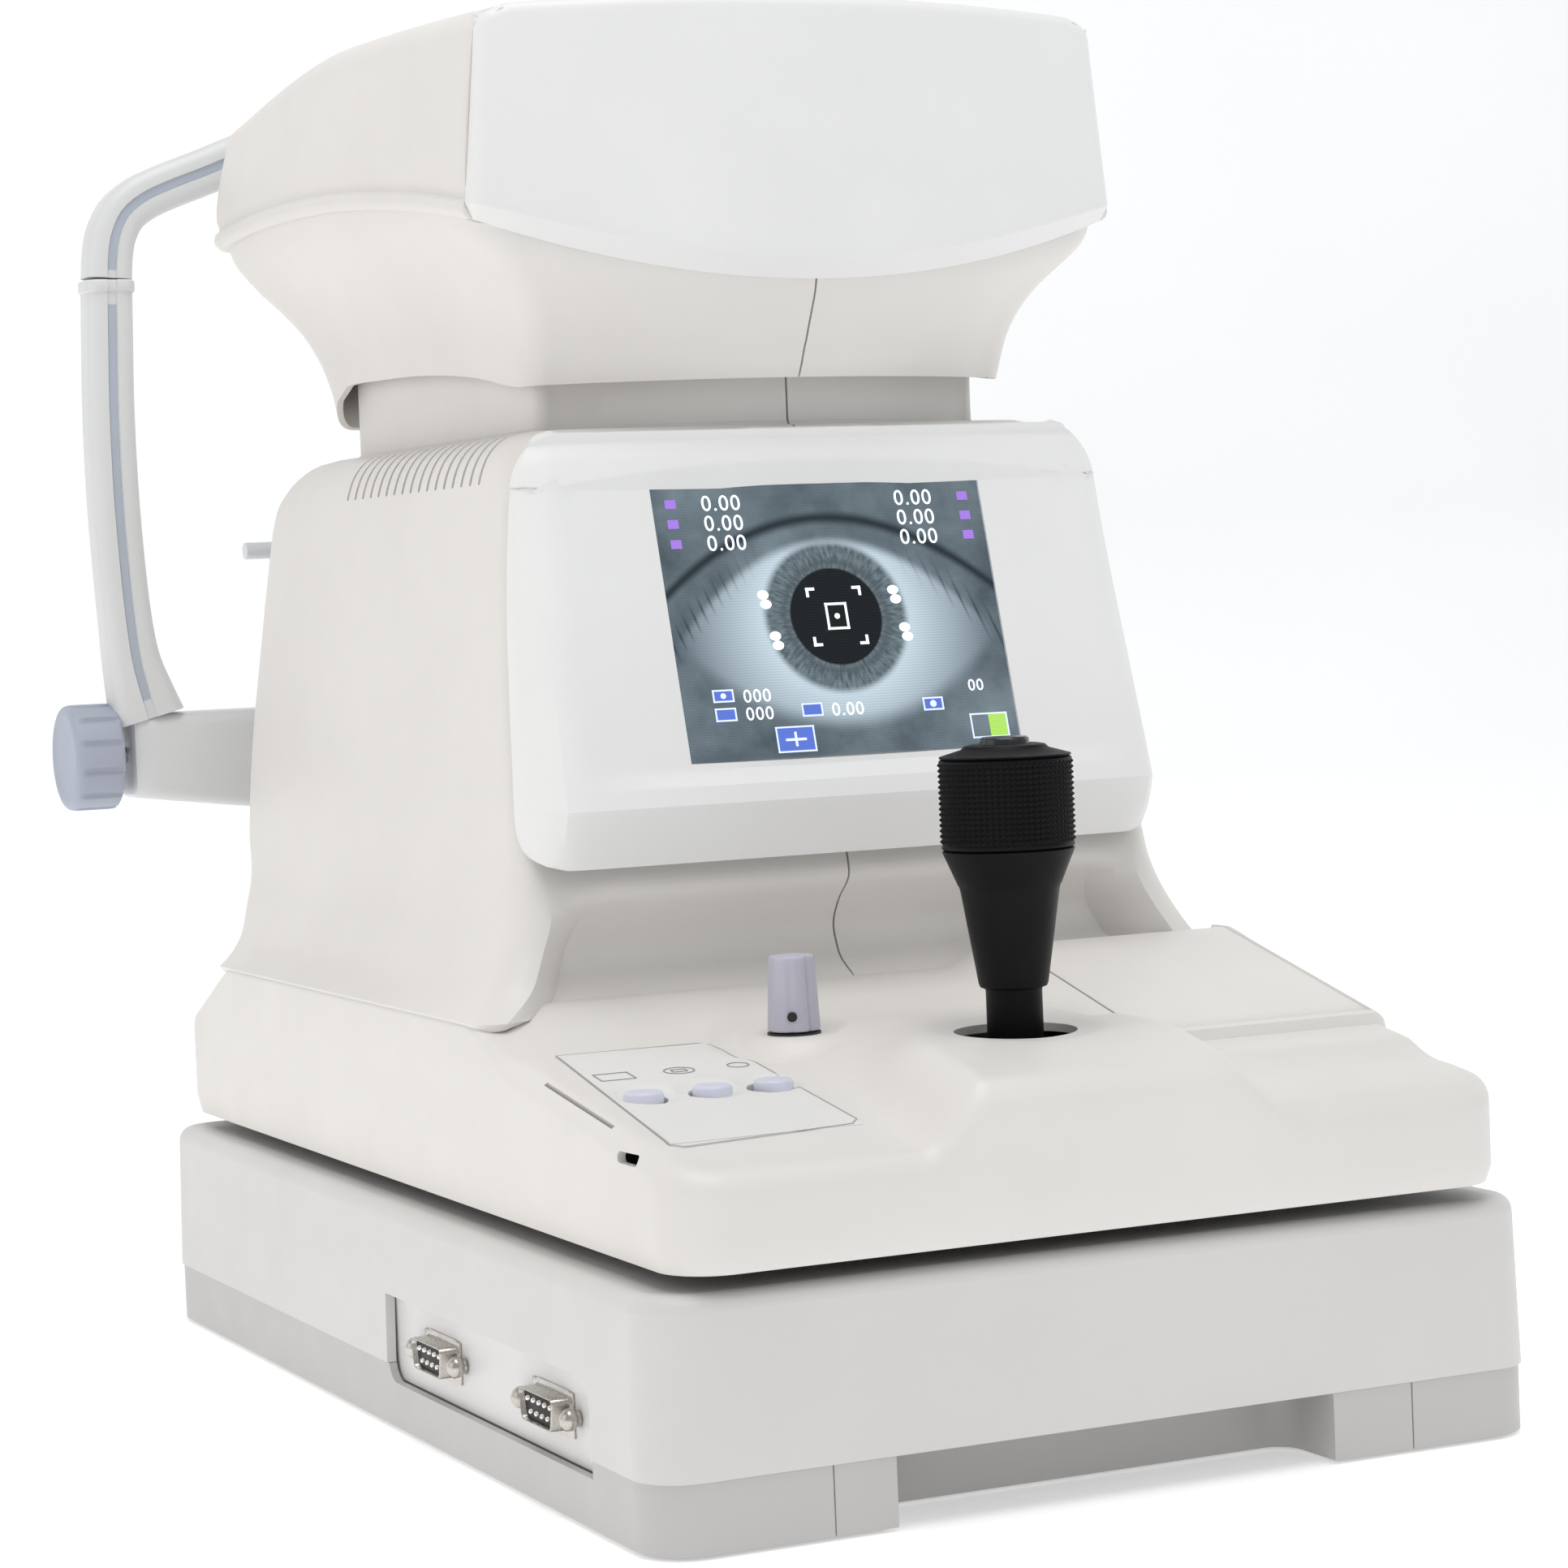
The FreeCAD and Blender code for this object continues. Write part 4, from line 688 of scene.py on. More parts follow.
def bezel_ups(across):
    """The rows of the surround, crowded where its surface bends."""
    top = dish_edge(across)
    ups = spread(-75, -59, 12) + [-58.0, -57.2, -56.6, -56.0, -55.2]
    ups += [-51.6, -51.0, -50.2, -48.4, -46.6, -45.2, -WINDOW_H] + spread(-36, 36, 12)
    ups += [WINDOW_H] + spread(mix(WINDOW_H, top, 0.3), mix(WINDOW_H, top, 0.86), 4)
    return ups + [top - 0.25, top + 0.25, top + 0.9] + spread(top + 2, 62, 14)


def make_bezel():
    """The monitor's surround, with a shallow dish round the screen."""
    across_lines = spread(-1, 1, 61)
    count = len(across_lines)
    rows = []
    places = []
    for level in range(len(bezel_ups(0))):
        row = []
        where = []
        for unit in across_lines:
            x = unit * 100.0
            for _ in range(2):
                up = bezel_ups(x)[level]
                z = clamp(SCREEN_MIDDLE.z + up * math.cos(TILT), BEZEL_LOW, BEZEL_TOP)
                half = curve(BEZEL_HALF, z)
                x = bend_line(unit, half)
            inside = clamp((half - abs(x)) / 11.0)
            round_off = 1 - math.sqrt(1 - (1 - inside) ** 2)
            depth = dish_depth(x, up)
            y = mix(bezel_face(z), curve(BEZEL_SEAM, z), round_off) + depth * math.cos(TILT)
            y = mix(y, -50.0, smooth(z, 297, BEZEL_TOP) ** 1.5)
            row.append((x, y, z - depth * math.sin(TILT)))
            where.append((x, up))
        rows.append(row)
        places.append(where)
    points = [p for row in rows for p in row]
    faces = []
    for r in range(len(rows) - 1):
        for c in range(count - 1):
            x = (places[r][c][0] + places[r][c + 1][0]) / 2
            up = (places[r][c][1] + places[r + 1][c][1]) / 2
            if abs(x) > WINDOW_W or abs(up) > WINDOW_H:
                a = r * count + c
                faces.append((a, a + 1, a + 1 + count, a + count))
    bezel = mesh_object("bezel_surround", points, faces)
    face_out(bezel)
    face_way(bezel, (0, -1, 0))
    thicken(bezel, 2.4)
    piece(bezel, "stage", "front_white", FRONT, "monitor_bezel", angle=24)


def bend_line(unit, half):
    """Columns that crowd near the edges and keep one line on the window's side."""
    lines = 0.58
    if abs(unit) <= lines:
        return unit / lines * WINDOW_W
    rest = (abs(unit) - lines) / (1 - lines)
    return math.copysign(mix(WINDOW_W, half, 1 - (1 - rest) ** 1.6), unit)


def flat_mark(name, outline, out):
    """A thin filled mark on the screen from (across, up) points."""
    points = [on_screen(a, b, out) for a, b in outline]
    points += [on_screen(a, b, out - 0.12) for a, b in outline]
    count = len(outline)
    faces = [tuple(range(count)), tuple(reversed(range(count, 2 * count)))]
    faces += [(i, (i + 1) % count, count + (i + 1) % count, count + i) for i in range(count)]
    obj = mesh_object(name, points, faces)
    face_out(obj)
    return obj


def bar_mark(a, b, c, d, out=0.45):
    low, high = (min(a, c), min(b, d)), (max(a, c), max(b, d))
    return flat_mark("bar", [low, (high[0], low[1]), high, (low[0], high[1])], out)


def frame_mark(a, b, wide, tall, line):
    """A rectangular outline made of four bars."""
    left, right = a - wide / 2, a + wide / 2
    low, high = b - tall / 2, b + tall / 2
    return [bar_mark(left, low, right, low + line), bar_mark(left, high - line, right, high),
            bar_mark(left, low, left + line, high), bar_mark(right - line, low, right, high)]


def written(text, a, b, size):
    """Figures as a thin raised mesh on the screen."""
    data = bpy.data.curves.new("figures", "FONT")
    data.body = text
    data.size = size * MM
    data.extrude = 0.00006
    data.space_character = 1.12
    data.align_x = "LEFT"
    obj = bpy.data.objects.new("figures", data)
    scene.collection.objects.link(obj)
    bpy.context.view_layer.update()
    mesh = bpy.data.meshes.new_from_object(obj.evaluated_get(
        bpy.context.evaluated_depsgraph_get()))
    bpy.data.objects.remove(obj)
    turn = Matrix((Vector((1, 0, 0)), UP_SCREEN, OUT_SCREEN)).transposed().to_4x4()
    spot = on_screen(a, b, 0.45) * MM
    mesh.transform(Matrix.Translation(spot) @ turn)
    made = bpy.data.objects.new("figures", mesh)
    scene.collection.objects.link(made)
    return made


def disc_mark(a, b, across, up, out=0.45):
    return flat_mark("spot", [(a + across * math.cos(t), b + up * math.sin(t)) for t in
                              [2 * math.pi * i / 20 for i in range(20)]], out)


def make_screen():
    """The lit picture's marks: plain zeros, brackets, bright spots and small icons."""
    screen = frame["nodes"]["lcd_screen"]
    paint(screen, lcd_material(SCREEN_MIDDLE * MM, TILT))
    white = []
    levels = [35.2 - 6.4 * row for row in range(3)]
    for level in levels:
        white += [written("0.00", -40, level, 7.0), written("0.00", 26, level, 7.0)]
    white += [written("000", -36, -26.0, 5.8), written("000", -36, -31.6, 5.8),
              written("0.00", -7, -31.6, 5.8), written("00", 41, -26, 5.2)]
    for x in (-1, 1):
        for y in (-1, 1):
            white.append(bar_mark(x * 9.4, y * 9.4, x * 6.4, y * 8.5))
            white.append(bar_mark(x * 9.4, y * 9.4, x * 8.5, y * 6.4))
    white += frame_mark(0, 0, 7.4, 8.6, 0.75)
    white.append(disc_mark(0, 0, 0.9, 0.9))
    for a, b in ((-24, 6.2), (-22, -7), (20.5, 6.2), (22.5, -6)):
        white += [disc_mark(a, b + 1.5, 1.9, 1.5), disc_mark(a + 0.5, b - 1.5, 1.9, 1.5)]
    piece(join("screen_figures", white), "stage", "overlay_white",
          glow("lit_white", (0.82, 0.88, 0.92)), angle=20)
    purple = []
    for level in levels:
        purple += [bar_mark(a, level + 1.0, a + 3.6, level + 3.8) for a in (-52, 48.4)]
    piece(join("screen_row_marks", purple), "stage", "overlay_white",
          glow("lit_purple", (0.24, 0.12, 0.50)), angle=20)
    blue = [bar_mark(-46, -25.6, -39, -21.6, 0.3), bar_mark(-46, -31.6, -39, -27.4, 0.3),
            bar_mark(-17, -31.4, -10, -27.2, 0.3), bar_mark(24.5, -31.6, 31.5, -27.4, 0.3),
            bar_mark(-27, -42.4, -14, -34.2, 0.3)]
    piece(join("screen_icons", blue), "stage", "overlay_white",
          glow("lit_blue", (0.06, 0.11, 0.42)), angle=20)
    edges = []
    for a, b, wide, tall in ((-42.5, -23.6, 7, 4), (-42.5, -29.5, 7, 4.2), (-13.5, -29.3, 7, 4.2),
                             (28, -29.5, 7, 4.2), (-20.5, -38.3, 13, 8.2), (46.4, -37.4, 13, 8)):
        edges += frame_mark(a, b, wide, tall, 0.5)
    edges += [disc_mark(-42.5, -23.6, 0.9, 0.9), disc_mark(28, -29.5, 1.1, 1.1),
              bar_mark(-24, -38.8, -17, -38), bar_mark(-20.9, -40.6, -20.1, -36)]
    piece(join("screen_icon_lines", edges), "stage", "overlay_white",
          glow("lit_pale", (0.55, 0.62, 0.78)), angle=20)
    halves = [bar_mark(46.4, -41, 52.4, -33.8, 0.3)]
    piece(join("screen_green", halves), "stage", "overlay_white",
          glow("lit_green", (0.28, 0.50, 0.08)), angle=20)


# ---------------------------------------------------------------- head

HEAD_HALF = 110.0
LIP = [(-50, 369), (-45.6, 369.6), (-4.5, 376), (47, 382), (102, 386), (163, 387), (216, 384.5)]
ROOF = [(-50, 435.4), (-12, 438.0), (56, 441.2), (102, 442.0), (147, 438.6), (200, 432), (217, 430)]


def front_seam(x):
    """The height of the front cover's lower seam."""
    return 349 + 20 * (min(abs(x), HEAD_HALF) / HEAD_HALF) ** 2


def head_section(y, inset=0.0, drop=0.0):
    """A section across the head from the left lip over the roof to the right one."""
    lip, roof = curve(LIP, y), curve(ROOF, y) - drop
    half = HEAD_HALF - inset
    side = [(half - 4.5, lip - 1.2), (half - 1.2, lip - 1.0), (half + 0.4, lip + 0.4),
            (half + 0.9, lip + 2.2), (half + 0.4, lip + 4.0), (half - 1.0, lip + 5.2),
            (half - 1.3, lip + 6.4), (half - 0.4, lip + 9)]
    lean, shoulder = 4.5, 9.0
    for step in spread(0.12, 1, 8):
        z = mix(lip + 9, roof - shoulder - 4, step)
        side.append((half - 0.3 - lean * step ** 1.6, z))
    top_half = side[-1][0]
    for i in range(1, 9):
        turn = math.pi / 2 * i / 8
        side.append((top_half - shoulder * (1 - math.cos(turn)),
                     roof - shoulder - 4 + (shoulder + 0.5) * math.sin(turn)))
    edge_x, edge_z = side[-1]
    for step in spread(0.15, 1, 8):
        side.append((edge_x * (1 - step), edge_z + (roof - edge_z) * (1 - (1 - step) ** 2)))
    points = [(-x, y, z) for x, z in side]
    points += [(x, y, z) for x, z in reversed(side[:-1])]
    return points


def barrel_hole():
    """The opening for the lens barrel, on the patient's side."""
    return cylinder("hole", 32.6, 180, 260, (0, 0, 380), "Y")


def make_rear_cover():
    """The tunnel-shaped cover over the head's sides and roof, closed on the patient's side."""
    rows = [head_section(y) for y in spread(-47.2, 205, 44)]
    for i in range(1, 8):
        turn = math.pi / 2 * i / 7
        rows.append(head_section(205 + 12 * math.sin(turn), 9 * (1 - math.cos(turn)),
                                 9 * (1 - math.cos(turn))))
    last = rows[-1]
    for step in (0.75, 0.45, 0.15):
        rows.append([(x * step, 217.2, mix(400, z, step)) for x, _, z in last])
    cover = grid("head_cover_shell", rows)
    thicken(cover, 2.6)
    cut(cover, barrel_hole())
    soften(cover, 0.4, 2, 60)
    piece(cover, "head", "shell_white", SHELL, "head_rear_cover", angle=34)


def fold(x):
    """The height of the slanted band along the front cover's lower edge."""
    return 6.8 - 2.6 * (min(abs(x), HEAD_HALF) / HEAD_HALF) ** 6


def front_plan(half, back=-47.5, bow=12.0, corner=7.0, shrink=0.0):
    """The front cover in plan, from its left seam round the bowed face to its right one."""
    edge = back - 5.5 + shrink
    points = [(-half, back), (-half, mix(back, edge + corner, 0.6))]
    for i in range(0, 9):
        turn = math.pi / 2 * i / 8
        points.append((-half + corner * (1 - math.cos(turn)), edge + corner * (1 - math.sin(turn))))
    start = -half + corner
    for unit in spread(0, 1, 41)[1:]:
        x = mix(start, -start, unit)
        points.append((x, edge - bow * (1 - (x / start) ** 2)))
    for i in range(1, 9):
        turn = math.pi / 2 * i / 8
        points.append((half - corner * (1 - math.sin(turn)), edge + corner * (1 - math.cos(turn))))
    points += [(half, mix(back, edge + corner, 0.6)), (half, back)]
    return points


def make_front_cover():
    """The bowed front of the head, whose lower edge is turned under along a curved seam."""
    rows = []
    back = -47.6

    def level(half, shrink, height):
        corner = 5.4 - shrink
        return [(x, y, height(x)) for x, y in front_plan(half, back, 12.0, corner, shrink)]

    def roof(x):
        return 435.4 - 3.2 * (x / 105) ** 2 - 4.5 * clamp((abs(x) - 94) / 11) ** 2

    top_half = 105.0
    rows.append([(x * 0.985, back, roof(x)) for x, y in front_plan(top_half)])
    rows.append([(x * 0.985, mix(back, y, 0.6), roof(x)) for x, y in front_plan(top_half)])
    for i in range(0, 7):
        turn = math.pi / 2 * i / 6
        tuck = 3.6 * (1 - math.sin(turn))
        rows.append(level(top_half - tuck * 0.6, tuck,
                          lambda x, t=turn: roof(x) - 3.6 * (1 - math.cos(t))))
    for step in spread(0.04, 1, 20):
        rows.append(level(mix(top_half, HEAD_HALF, step), 0.0,
                          lambda x, s=step: mix(roof(x) - 3.6, front_seam(x) + fold(x), s)))
    for share, tuck in ((0.93, 0.12), (0.85, 0.5), (0.76, 1.0), (0.3, 3.5), (0.05, 4.9),
                        (0.0, 5.1)):
        rows.append(level(HEAD_HALF - tuck * 0.45, tuck,
                          lambda x, s=share: front_seam(x) + fold(x) * s))
    cover = grid("head_front_shell", rows)
    face_way(cover, (0, -1, 0))
    thicken(cover, 2.4)
    soften(cover, 0.35, 2, 60)
    piece(cover, "head", "front_white", FRONT, "head_front_cover", angle=26)


# share of the height, half width, front middle, bow of the front, back, corner radius
COWL = [
    (0.0, 83.5, -43.6, 24, 168, 9), (0.12, 84.0, -46.0, 24, 171, 9),
    (0.27, 84.8, -48.3, 23, 178, 9), (0.38, 86.2, -50.4, 22, 184, 9),
    (0.48, 88.4, -52.0, 20, 191, 10), (0.60, 92.6, -54.0, 18, 200, 11),
    (0.72, 98.5, -56.0, 15.5, 208, 12), (0.84, 104.0, -58.0, 13, 212, 12),
    (0.93, 106.4, -59.0, 12, 213.5, 12), (1.0, 107.0, -59.6, 11.8, 214, 12),
]
COWL_ARCH = [(-30, 319.8), (-12, 320), (20, 325), (70, 329), (120, 330.5), (150, 330.5), (158, 327),
             (165, 319), (169, 316), (220, 316)]


def cowl_ring(share):
    half, front, bow, back, radius = (curve([(row[0], row[i]) for row in COWL], share)
                                      for i in range(1, 6))
    return plan_ring(320, half, back, radius, lambda x: front + bow * (abs(x) / half) ** 2)


def cowl_top(x, y):
    if y < -44:
        return front_seam(x) + 0.4
    return mix(front_seam(x) + 0.4, curve(LIP, y) + 1.5, smooth(y, -44, -30))


def make_cowl():
    """The flared cowl under the head, in two halves with a seam down the middle."""
    low_ring, high_ring = cowl_ring(0), cowl_ring(1)
    bottoms = [curve(COWL_ARCH, y) for _, y, _ in low_ring]
    tops = [cowl_top(x, y) for x, y, _ in high_ring]
    rows = []
    for share in spread(0, 1, 30):
        ring = cowl_ring(share)
        rows.append([(x, y, mix(bottoms[i], tops[i], share)) for i, (x, y, _) in enumerate(ring)])
    rows.append([(x * 0.985, y * 0.985, z + 3.0) for x, y, z in rows[-1]])
    shell = grid("cowl", rows, closed=True)
    thicken(shell, 2.2)
    cut(shell, barrel_hole())
    make_halves(shell, "head", ("cowl_left", "cowl_right"), 34)


# ---------------------------------------------------------------- tray

TRAY_HALF = 131.0
TRAY_FRONT, TRAY_BACK = -226.0, 226.0
TRAY_CORNER = 16.0
DECK_TOP = 129.6
STICK = (0.0, -171.0, 0.0)
LID_RISE = math.tan(math.radians(13.9))


# the keys' places across and along the deck
KEY_PLACES = {x: sum(corner.y for corner in mm(node)) / 2 for x, node in
              ((-107, "key_print"), (-88, "key_mode"), (-70, "key_menu"))}
KEY_SLOPE = 0.1458
KNOB_X, KNOB_Y = -42, -111


def key_plane(y):
    """The height of the sloping key panel."""
    return 121 + KEY_SLOPE * (y + 104)


def deck(x, y):
    """The height of the tray's top, before its edges are rounded."""
    if y > 150:
        return DECK_TOP - 24.6 * clamp((y - 168) / 58) ** 1.15
    rise = 3.6 * smooth(abs(x), 122, 104) * (1 - smooth(x, 28, 47))
    if y > -66:
        return DECK_TOP + rise * smooth(y, -46, -60)
    plain = mix(key_plane(min(y, -104)), DECK_TOP, smooth(y, -104, -70))
    plain -= 2.2 * smooth(y, -196, -222)
    hump = curve([(-226, 117.2), (-214, 120.6), (-200, 123.6), (-188, 125.4), (-150, 126.3),
                  (-110, 127.0), (-66, 129.7)], y)
    back = smooth(y, -190, -130)
    left = smooth(x, mix(-57, -62, back), mix(-36, -12, back))
    right = smooth(x, mix(74, 52, smooth(y, -215, -165)), mix(37, 44, smooth(y, -215, -165)))
    if y > -163:
        right = 1.0
    height = mix(plain, hump, left * right) + rise * smooth(y, -96, -68)
    if x > 30:
        wing = curve([(-226, 101.5), (-217, 104.5), (-204, 106.8), (-192, 108.2), (-184, 110.6),
                      (-178, 113.2), (-163.5, 115.4)], y)
        if y < -163:
            height = mix(height, wing, smooth(x, 37, 66))
        else:
            block = clamp(120.1 + (y + 156) * LID_RISE, 117.0, 139.8)
            height = mix(height, block, smooth(x, 28, 47))
            if 49.4 < x < 128.3 and y > -158.5:
                height = block - 2.6
    boss = math.hypot(x - KNOB_X, y - KNOB_Y)
    height -= 2.0 * smooth(abs(boss - 20), 8, 1) * smooth(x, -34, -46)
    height = mix(height, 122.4, smooth(boss, 16.5, 9.5))
    rim = math.hypot(x, y - STICK[1])
    height += -1.1 * smooth(rim, 27, 19)
    for key_x, key_y in KEY_PLACES.items():
        height -= 1.5 * smooth(math.hypot(x - key_x, y - key_y), 10.5, 7.2)
    return height


def edge_radius(x, y):
    """How broadly the tray's top edge is rounded."""
    broad = mix(6.5, 2.2, smooth(y, -112, -80))
    if x > 60:
        broad = min(broad, mix(5.5, 3.0, smooth(y, -170, -158)))
    return broad if y < 0 else mix(2.2, 5.0, smooth(y, 160, 200))


def tray_half_at(y):
    """Half the tray's width at a y, which narrows round the plan's corners."""
    near = min(y - TRAY_FRONT, TRAY_BACK - y)
    if near >= TRAY_CORNER:
        return TRAY_HALF
    return TRAY_HALF - TRAY_CORNER + math.sqrt(max(TRAY_CORNER ** 2 - (TRAY_CORNER - near) ** 2, 0))


def edge_drop(distance, radius):
    if distance >= radius:
        return 0.0
    return radius - math.sqrt(max(radius ** 2 - (radius - distance) ** 2, 0))


def edge_distance(x, y):
    """How far a point is inside the tray's plan outline."""
    inner_x, inner_y = TRAY_HALF - TRAY_CORNER, TRAY_BACK - TRAY_CORNER
    over_x, over_y = abs(x) - inner_x, abs(y) - inner_y
    if over_x > 0 and over_y > 0:
        return TRAY_CORNER - math.hypot(over_x, over_y)
    return TRAY_CORNER - max(over_x, over_y)


def tray_top(x, y):
    distance = max(edge_distance(x, y), 0.0)
    return deck(x, y) - edge_drop(distance, edge_radius(x, y))


def tray_rows():
    """Points over the tray's top, crowded near its edges."""
    ys = [TRAY_FRONT + 0.02 + 14 * (1 - math.cos(math.pi / 2 * i / 12)) for i in range(12)]
    ys += spread(-212, -60, 110) + spread(-52, 150, 22)
    ys += [TRAY_BACK - 0.02 - 70 * math.cos(math.pi / 2 * i / 22) for i in range(23)]
    edge = [-1 + 0.11 * (1 - math.cos(math.pi / 2 * i / 13)) for i in range(14)]
    units = edge + spread(-0.89, 0.89, 150)[1:-1] + [-u for u in reversed(edge)]
    rows = []
    for y in ys:
        half = tray_half_at(y)
        rows.append([(u * half, y, tray_top(u * half, y)) for u in units])
    return rows


def tray_surface():
    """The tray's top and the walls down to its rim, as one open surface."""
    rows = tray_rows()
    columns = len(rows[0])
    points = [p for row in rows for p in row]
    faces = grid_faces(len(rows), columns)
    rim = list(range(columns))
    rim += [r * columns + columns - 1 for r in range(1, len(rows))]
    rim += [(len(rows) - 1) * columns + c for c in range(columns - 2, -1, -1)]
    rim += [r * columns for r in range(len(rows) - 2, 0, -1)]
    start = len(points)
    foot, levels = 74.5, 5
    for level in range(1, levels + 1):
        tuck = 1.2 if level == levels else 0.0
        for index in rim:
            x, y, z = points[index]
            points.append((x * (1 - tuck / TRAY_HALF), y * (1 - tuck / TRAY_BACK),
                           mix(z, foot, level / levels)))
    previous = rim
    for level in range(levels):
        following = list(range(start + level * len(rim), start + (level + 1) * len(rim)))
        for i in range(len(rim)):
            j = (i + 1) % len(rim)
            faces.append((previous[i], previous[j], following[j], following[i]))
        previous = following
    surface = mesh_object("tray_shell", points, faces)
    face_out(surface)
    face_way(surface, (0, 0, 1))
    return surface


def make_tray():
    """The moulded tray, with its openings for the controls, the printer and the column."""
    tray = tray_surface()
    thicken(tray, 2.4)
    cutters = [
        cylinder("hole", 17.8, 100, 150, STICK, "Z"),
        cylinder("bore", 3.35, 100, 150, (KNOB_X, KNOB_Y, 0), "Z"),
        rounded_box("thumb_notch", (-140, -200, 101.4), (-126.6, -187, 104.6), 1.3),
        rounded_box("bay", (53, -158.5, 90), (124, -80, 150), 0),
        rounded_box("lid_gap", (48.3, -158.4, 112), (49.1, -76, 150), 0),
        rounded_box("under_column", (-118, -48, 118), (118, 165, 140), 0),
        slanted_slot(),
    ]
    for x, y in KEY_PLACES.items():
        cutters.append(cylinder("key_hole", 5.95, 100, 140, (x, y, 0), "Z"))
    cut(tray, *cutters)
    piece(tray, "stage", "shell_white", SHELL, "tray_cover", angle=42)


def slanted_slot():
    """The narrow slit along the key panel's outer side."""
    slot = rounded_box("slit", (-0.6, -25, -3.2), (0.6, 25, 30), 0)
    slot.data.transform(Matrix.Rotation(math.atan(KEY_SLOPE), 4, "X"))
    slot.data.transform(Matrix.Translation(Vector((-127.6, -152, key_plane(-152) - 2.6)) * MM))
    return slot


def make_key_panel():
    """The printed film, the keys' icons and the film's border line."""
    outline = [(-114.5, -102.6), (-66, -103.4), (-63.4, -106), (-63.4, -196), (-66.5, -199.5),
               (-118, -203.6), (-121.6, -201)]
    rows = []
    for across in spread(0, 1, 34):
        row = []
        for along in spread(0, 1, 60):
            y = mix(-103, -200.5, along)
            left = mix(-114.5, -121.0, along)
            x = mix(left, -63.5, across)
            row.append((x, y, tray_top(x, y) + 0.22))
        rows.append(row)
    film = grid("key_film", rows)
    face_way(film, (0, 0, 1))
    thicken(film, 0.5)
    holes = [cylinder("h", 6.1, 100, 140, (x, y, 0), "Z") for x, y in KEY_PLACES.items()]
    cut(film, *holes)
    piece(film, "stage", "overlay_white", FILM, "keypad_panel")
    lines = icon_loop(-108, -131, 5.2, 3.6, 4) + icon_loop(-88, -131, 4.6, 3.4, 20)
    lines += icon_loop(-69.5, -131, 3.2, 2.6, 20) + icon_loop(-88, -131, 2.2, 1.2, 4)
    piece(join("key_icons", lines), "stage", "overlay_white", INK)
    border = []
    for (ax, ay), (bx, by) in zip(outline, outline[1:] + outline[:1]):
        steps = max(int(math.hypot(bx - ax, by - ay) / 4), 1)
        for i in range(steps):
            first = (mix(ax, bx, i / steps), mix(ay, by, i / steps))
            last = (mix(ax, bx, (i + 1) / steps), mix(ay, by, (i + 1) / steps))
            border.append(printed_bar(first, last, 0.22))
    piece(join("key_film_border", border), "stage", "overlay_white", BORDER)


def on_deck(x, y, lift=0.3):
    return (x, y, tray_top(x, y) + lift)


def icon_loop(x, y, wide, tall, sides):
    """A printed outline on the film: a ring for many sides, a rectangle for four."""
    bars = []
    shift = math.pi / 4 if sides == 4 else 0.0
    grow = math.sqrt(2) if sides == 4 else 1.0
    corners = []
    for i in range(sides):
        turn = shift + 2 * math.pi * i / sides
        corners.append((x + wide * grow * math.cos(turn), y + tall * grow * math.sin(turn)))
    for first, last in zip(corners, corners[1:] + corners[:1]):
        bars.append(printed_bar(first, last, 0.22))
    return bars


def printed_bar(first, last, half):
    """A short printed line on the deck."""
    (ax, ay), (bx, by) = first, last
    length = math.hypot(bx - ax, by - ay)
    nx, ny = -(by - ay) / length * half, (bx - ax) / length * half
    low = [on_deck(ax - nx, ay - ny), on_deck(bx - nx, by - ny), on_deck(bx + nx, by + ny),
           on_deck(ax + nx, ay + ny)]
    points = low + [(px, py, pz + 0.06) for px, py, pz in low]
    return mesh_object("bar", points, [(3, 2, 1, 0), (4, 5, 6, 7), (0, 1, 5, 4), (1, 2, 6, 5),
                                       (2, 3, 7, 6), (3, 0, 4, 7)])


def make_keys():
    """Round keys whose tops are gently dished."""
    for node, body in (("key_print", "print_key"), ("key_mode", "mode_key"), ("key_menu", "menu_key")):
        low, high = mm(node)
        centre = ((low.x + high.x) / 2, (low.y + high.y) / 2, 0)
        top, radius = high.z, (high.x - low.x) / 2
        key = revolve(node + "_cap", [(0.01, low.z), (radius, low.z), (radius, top - 0.9),
                                      (radius - 0.3, top - 0.3), (radius - 0.9, top),
                                      (radius - 2, top - 0.15), (2, top - 0.5),
                                      (0.01, top - 0.55)], centre)
        piece(key, body, "key_lilac", KEY, node)


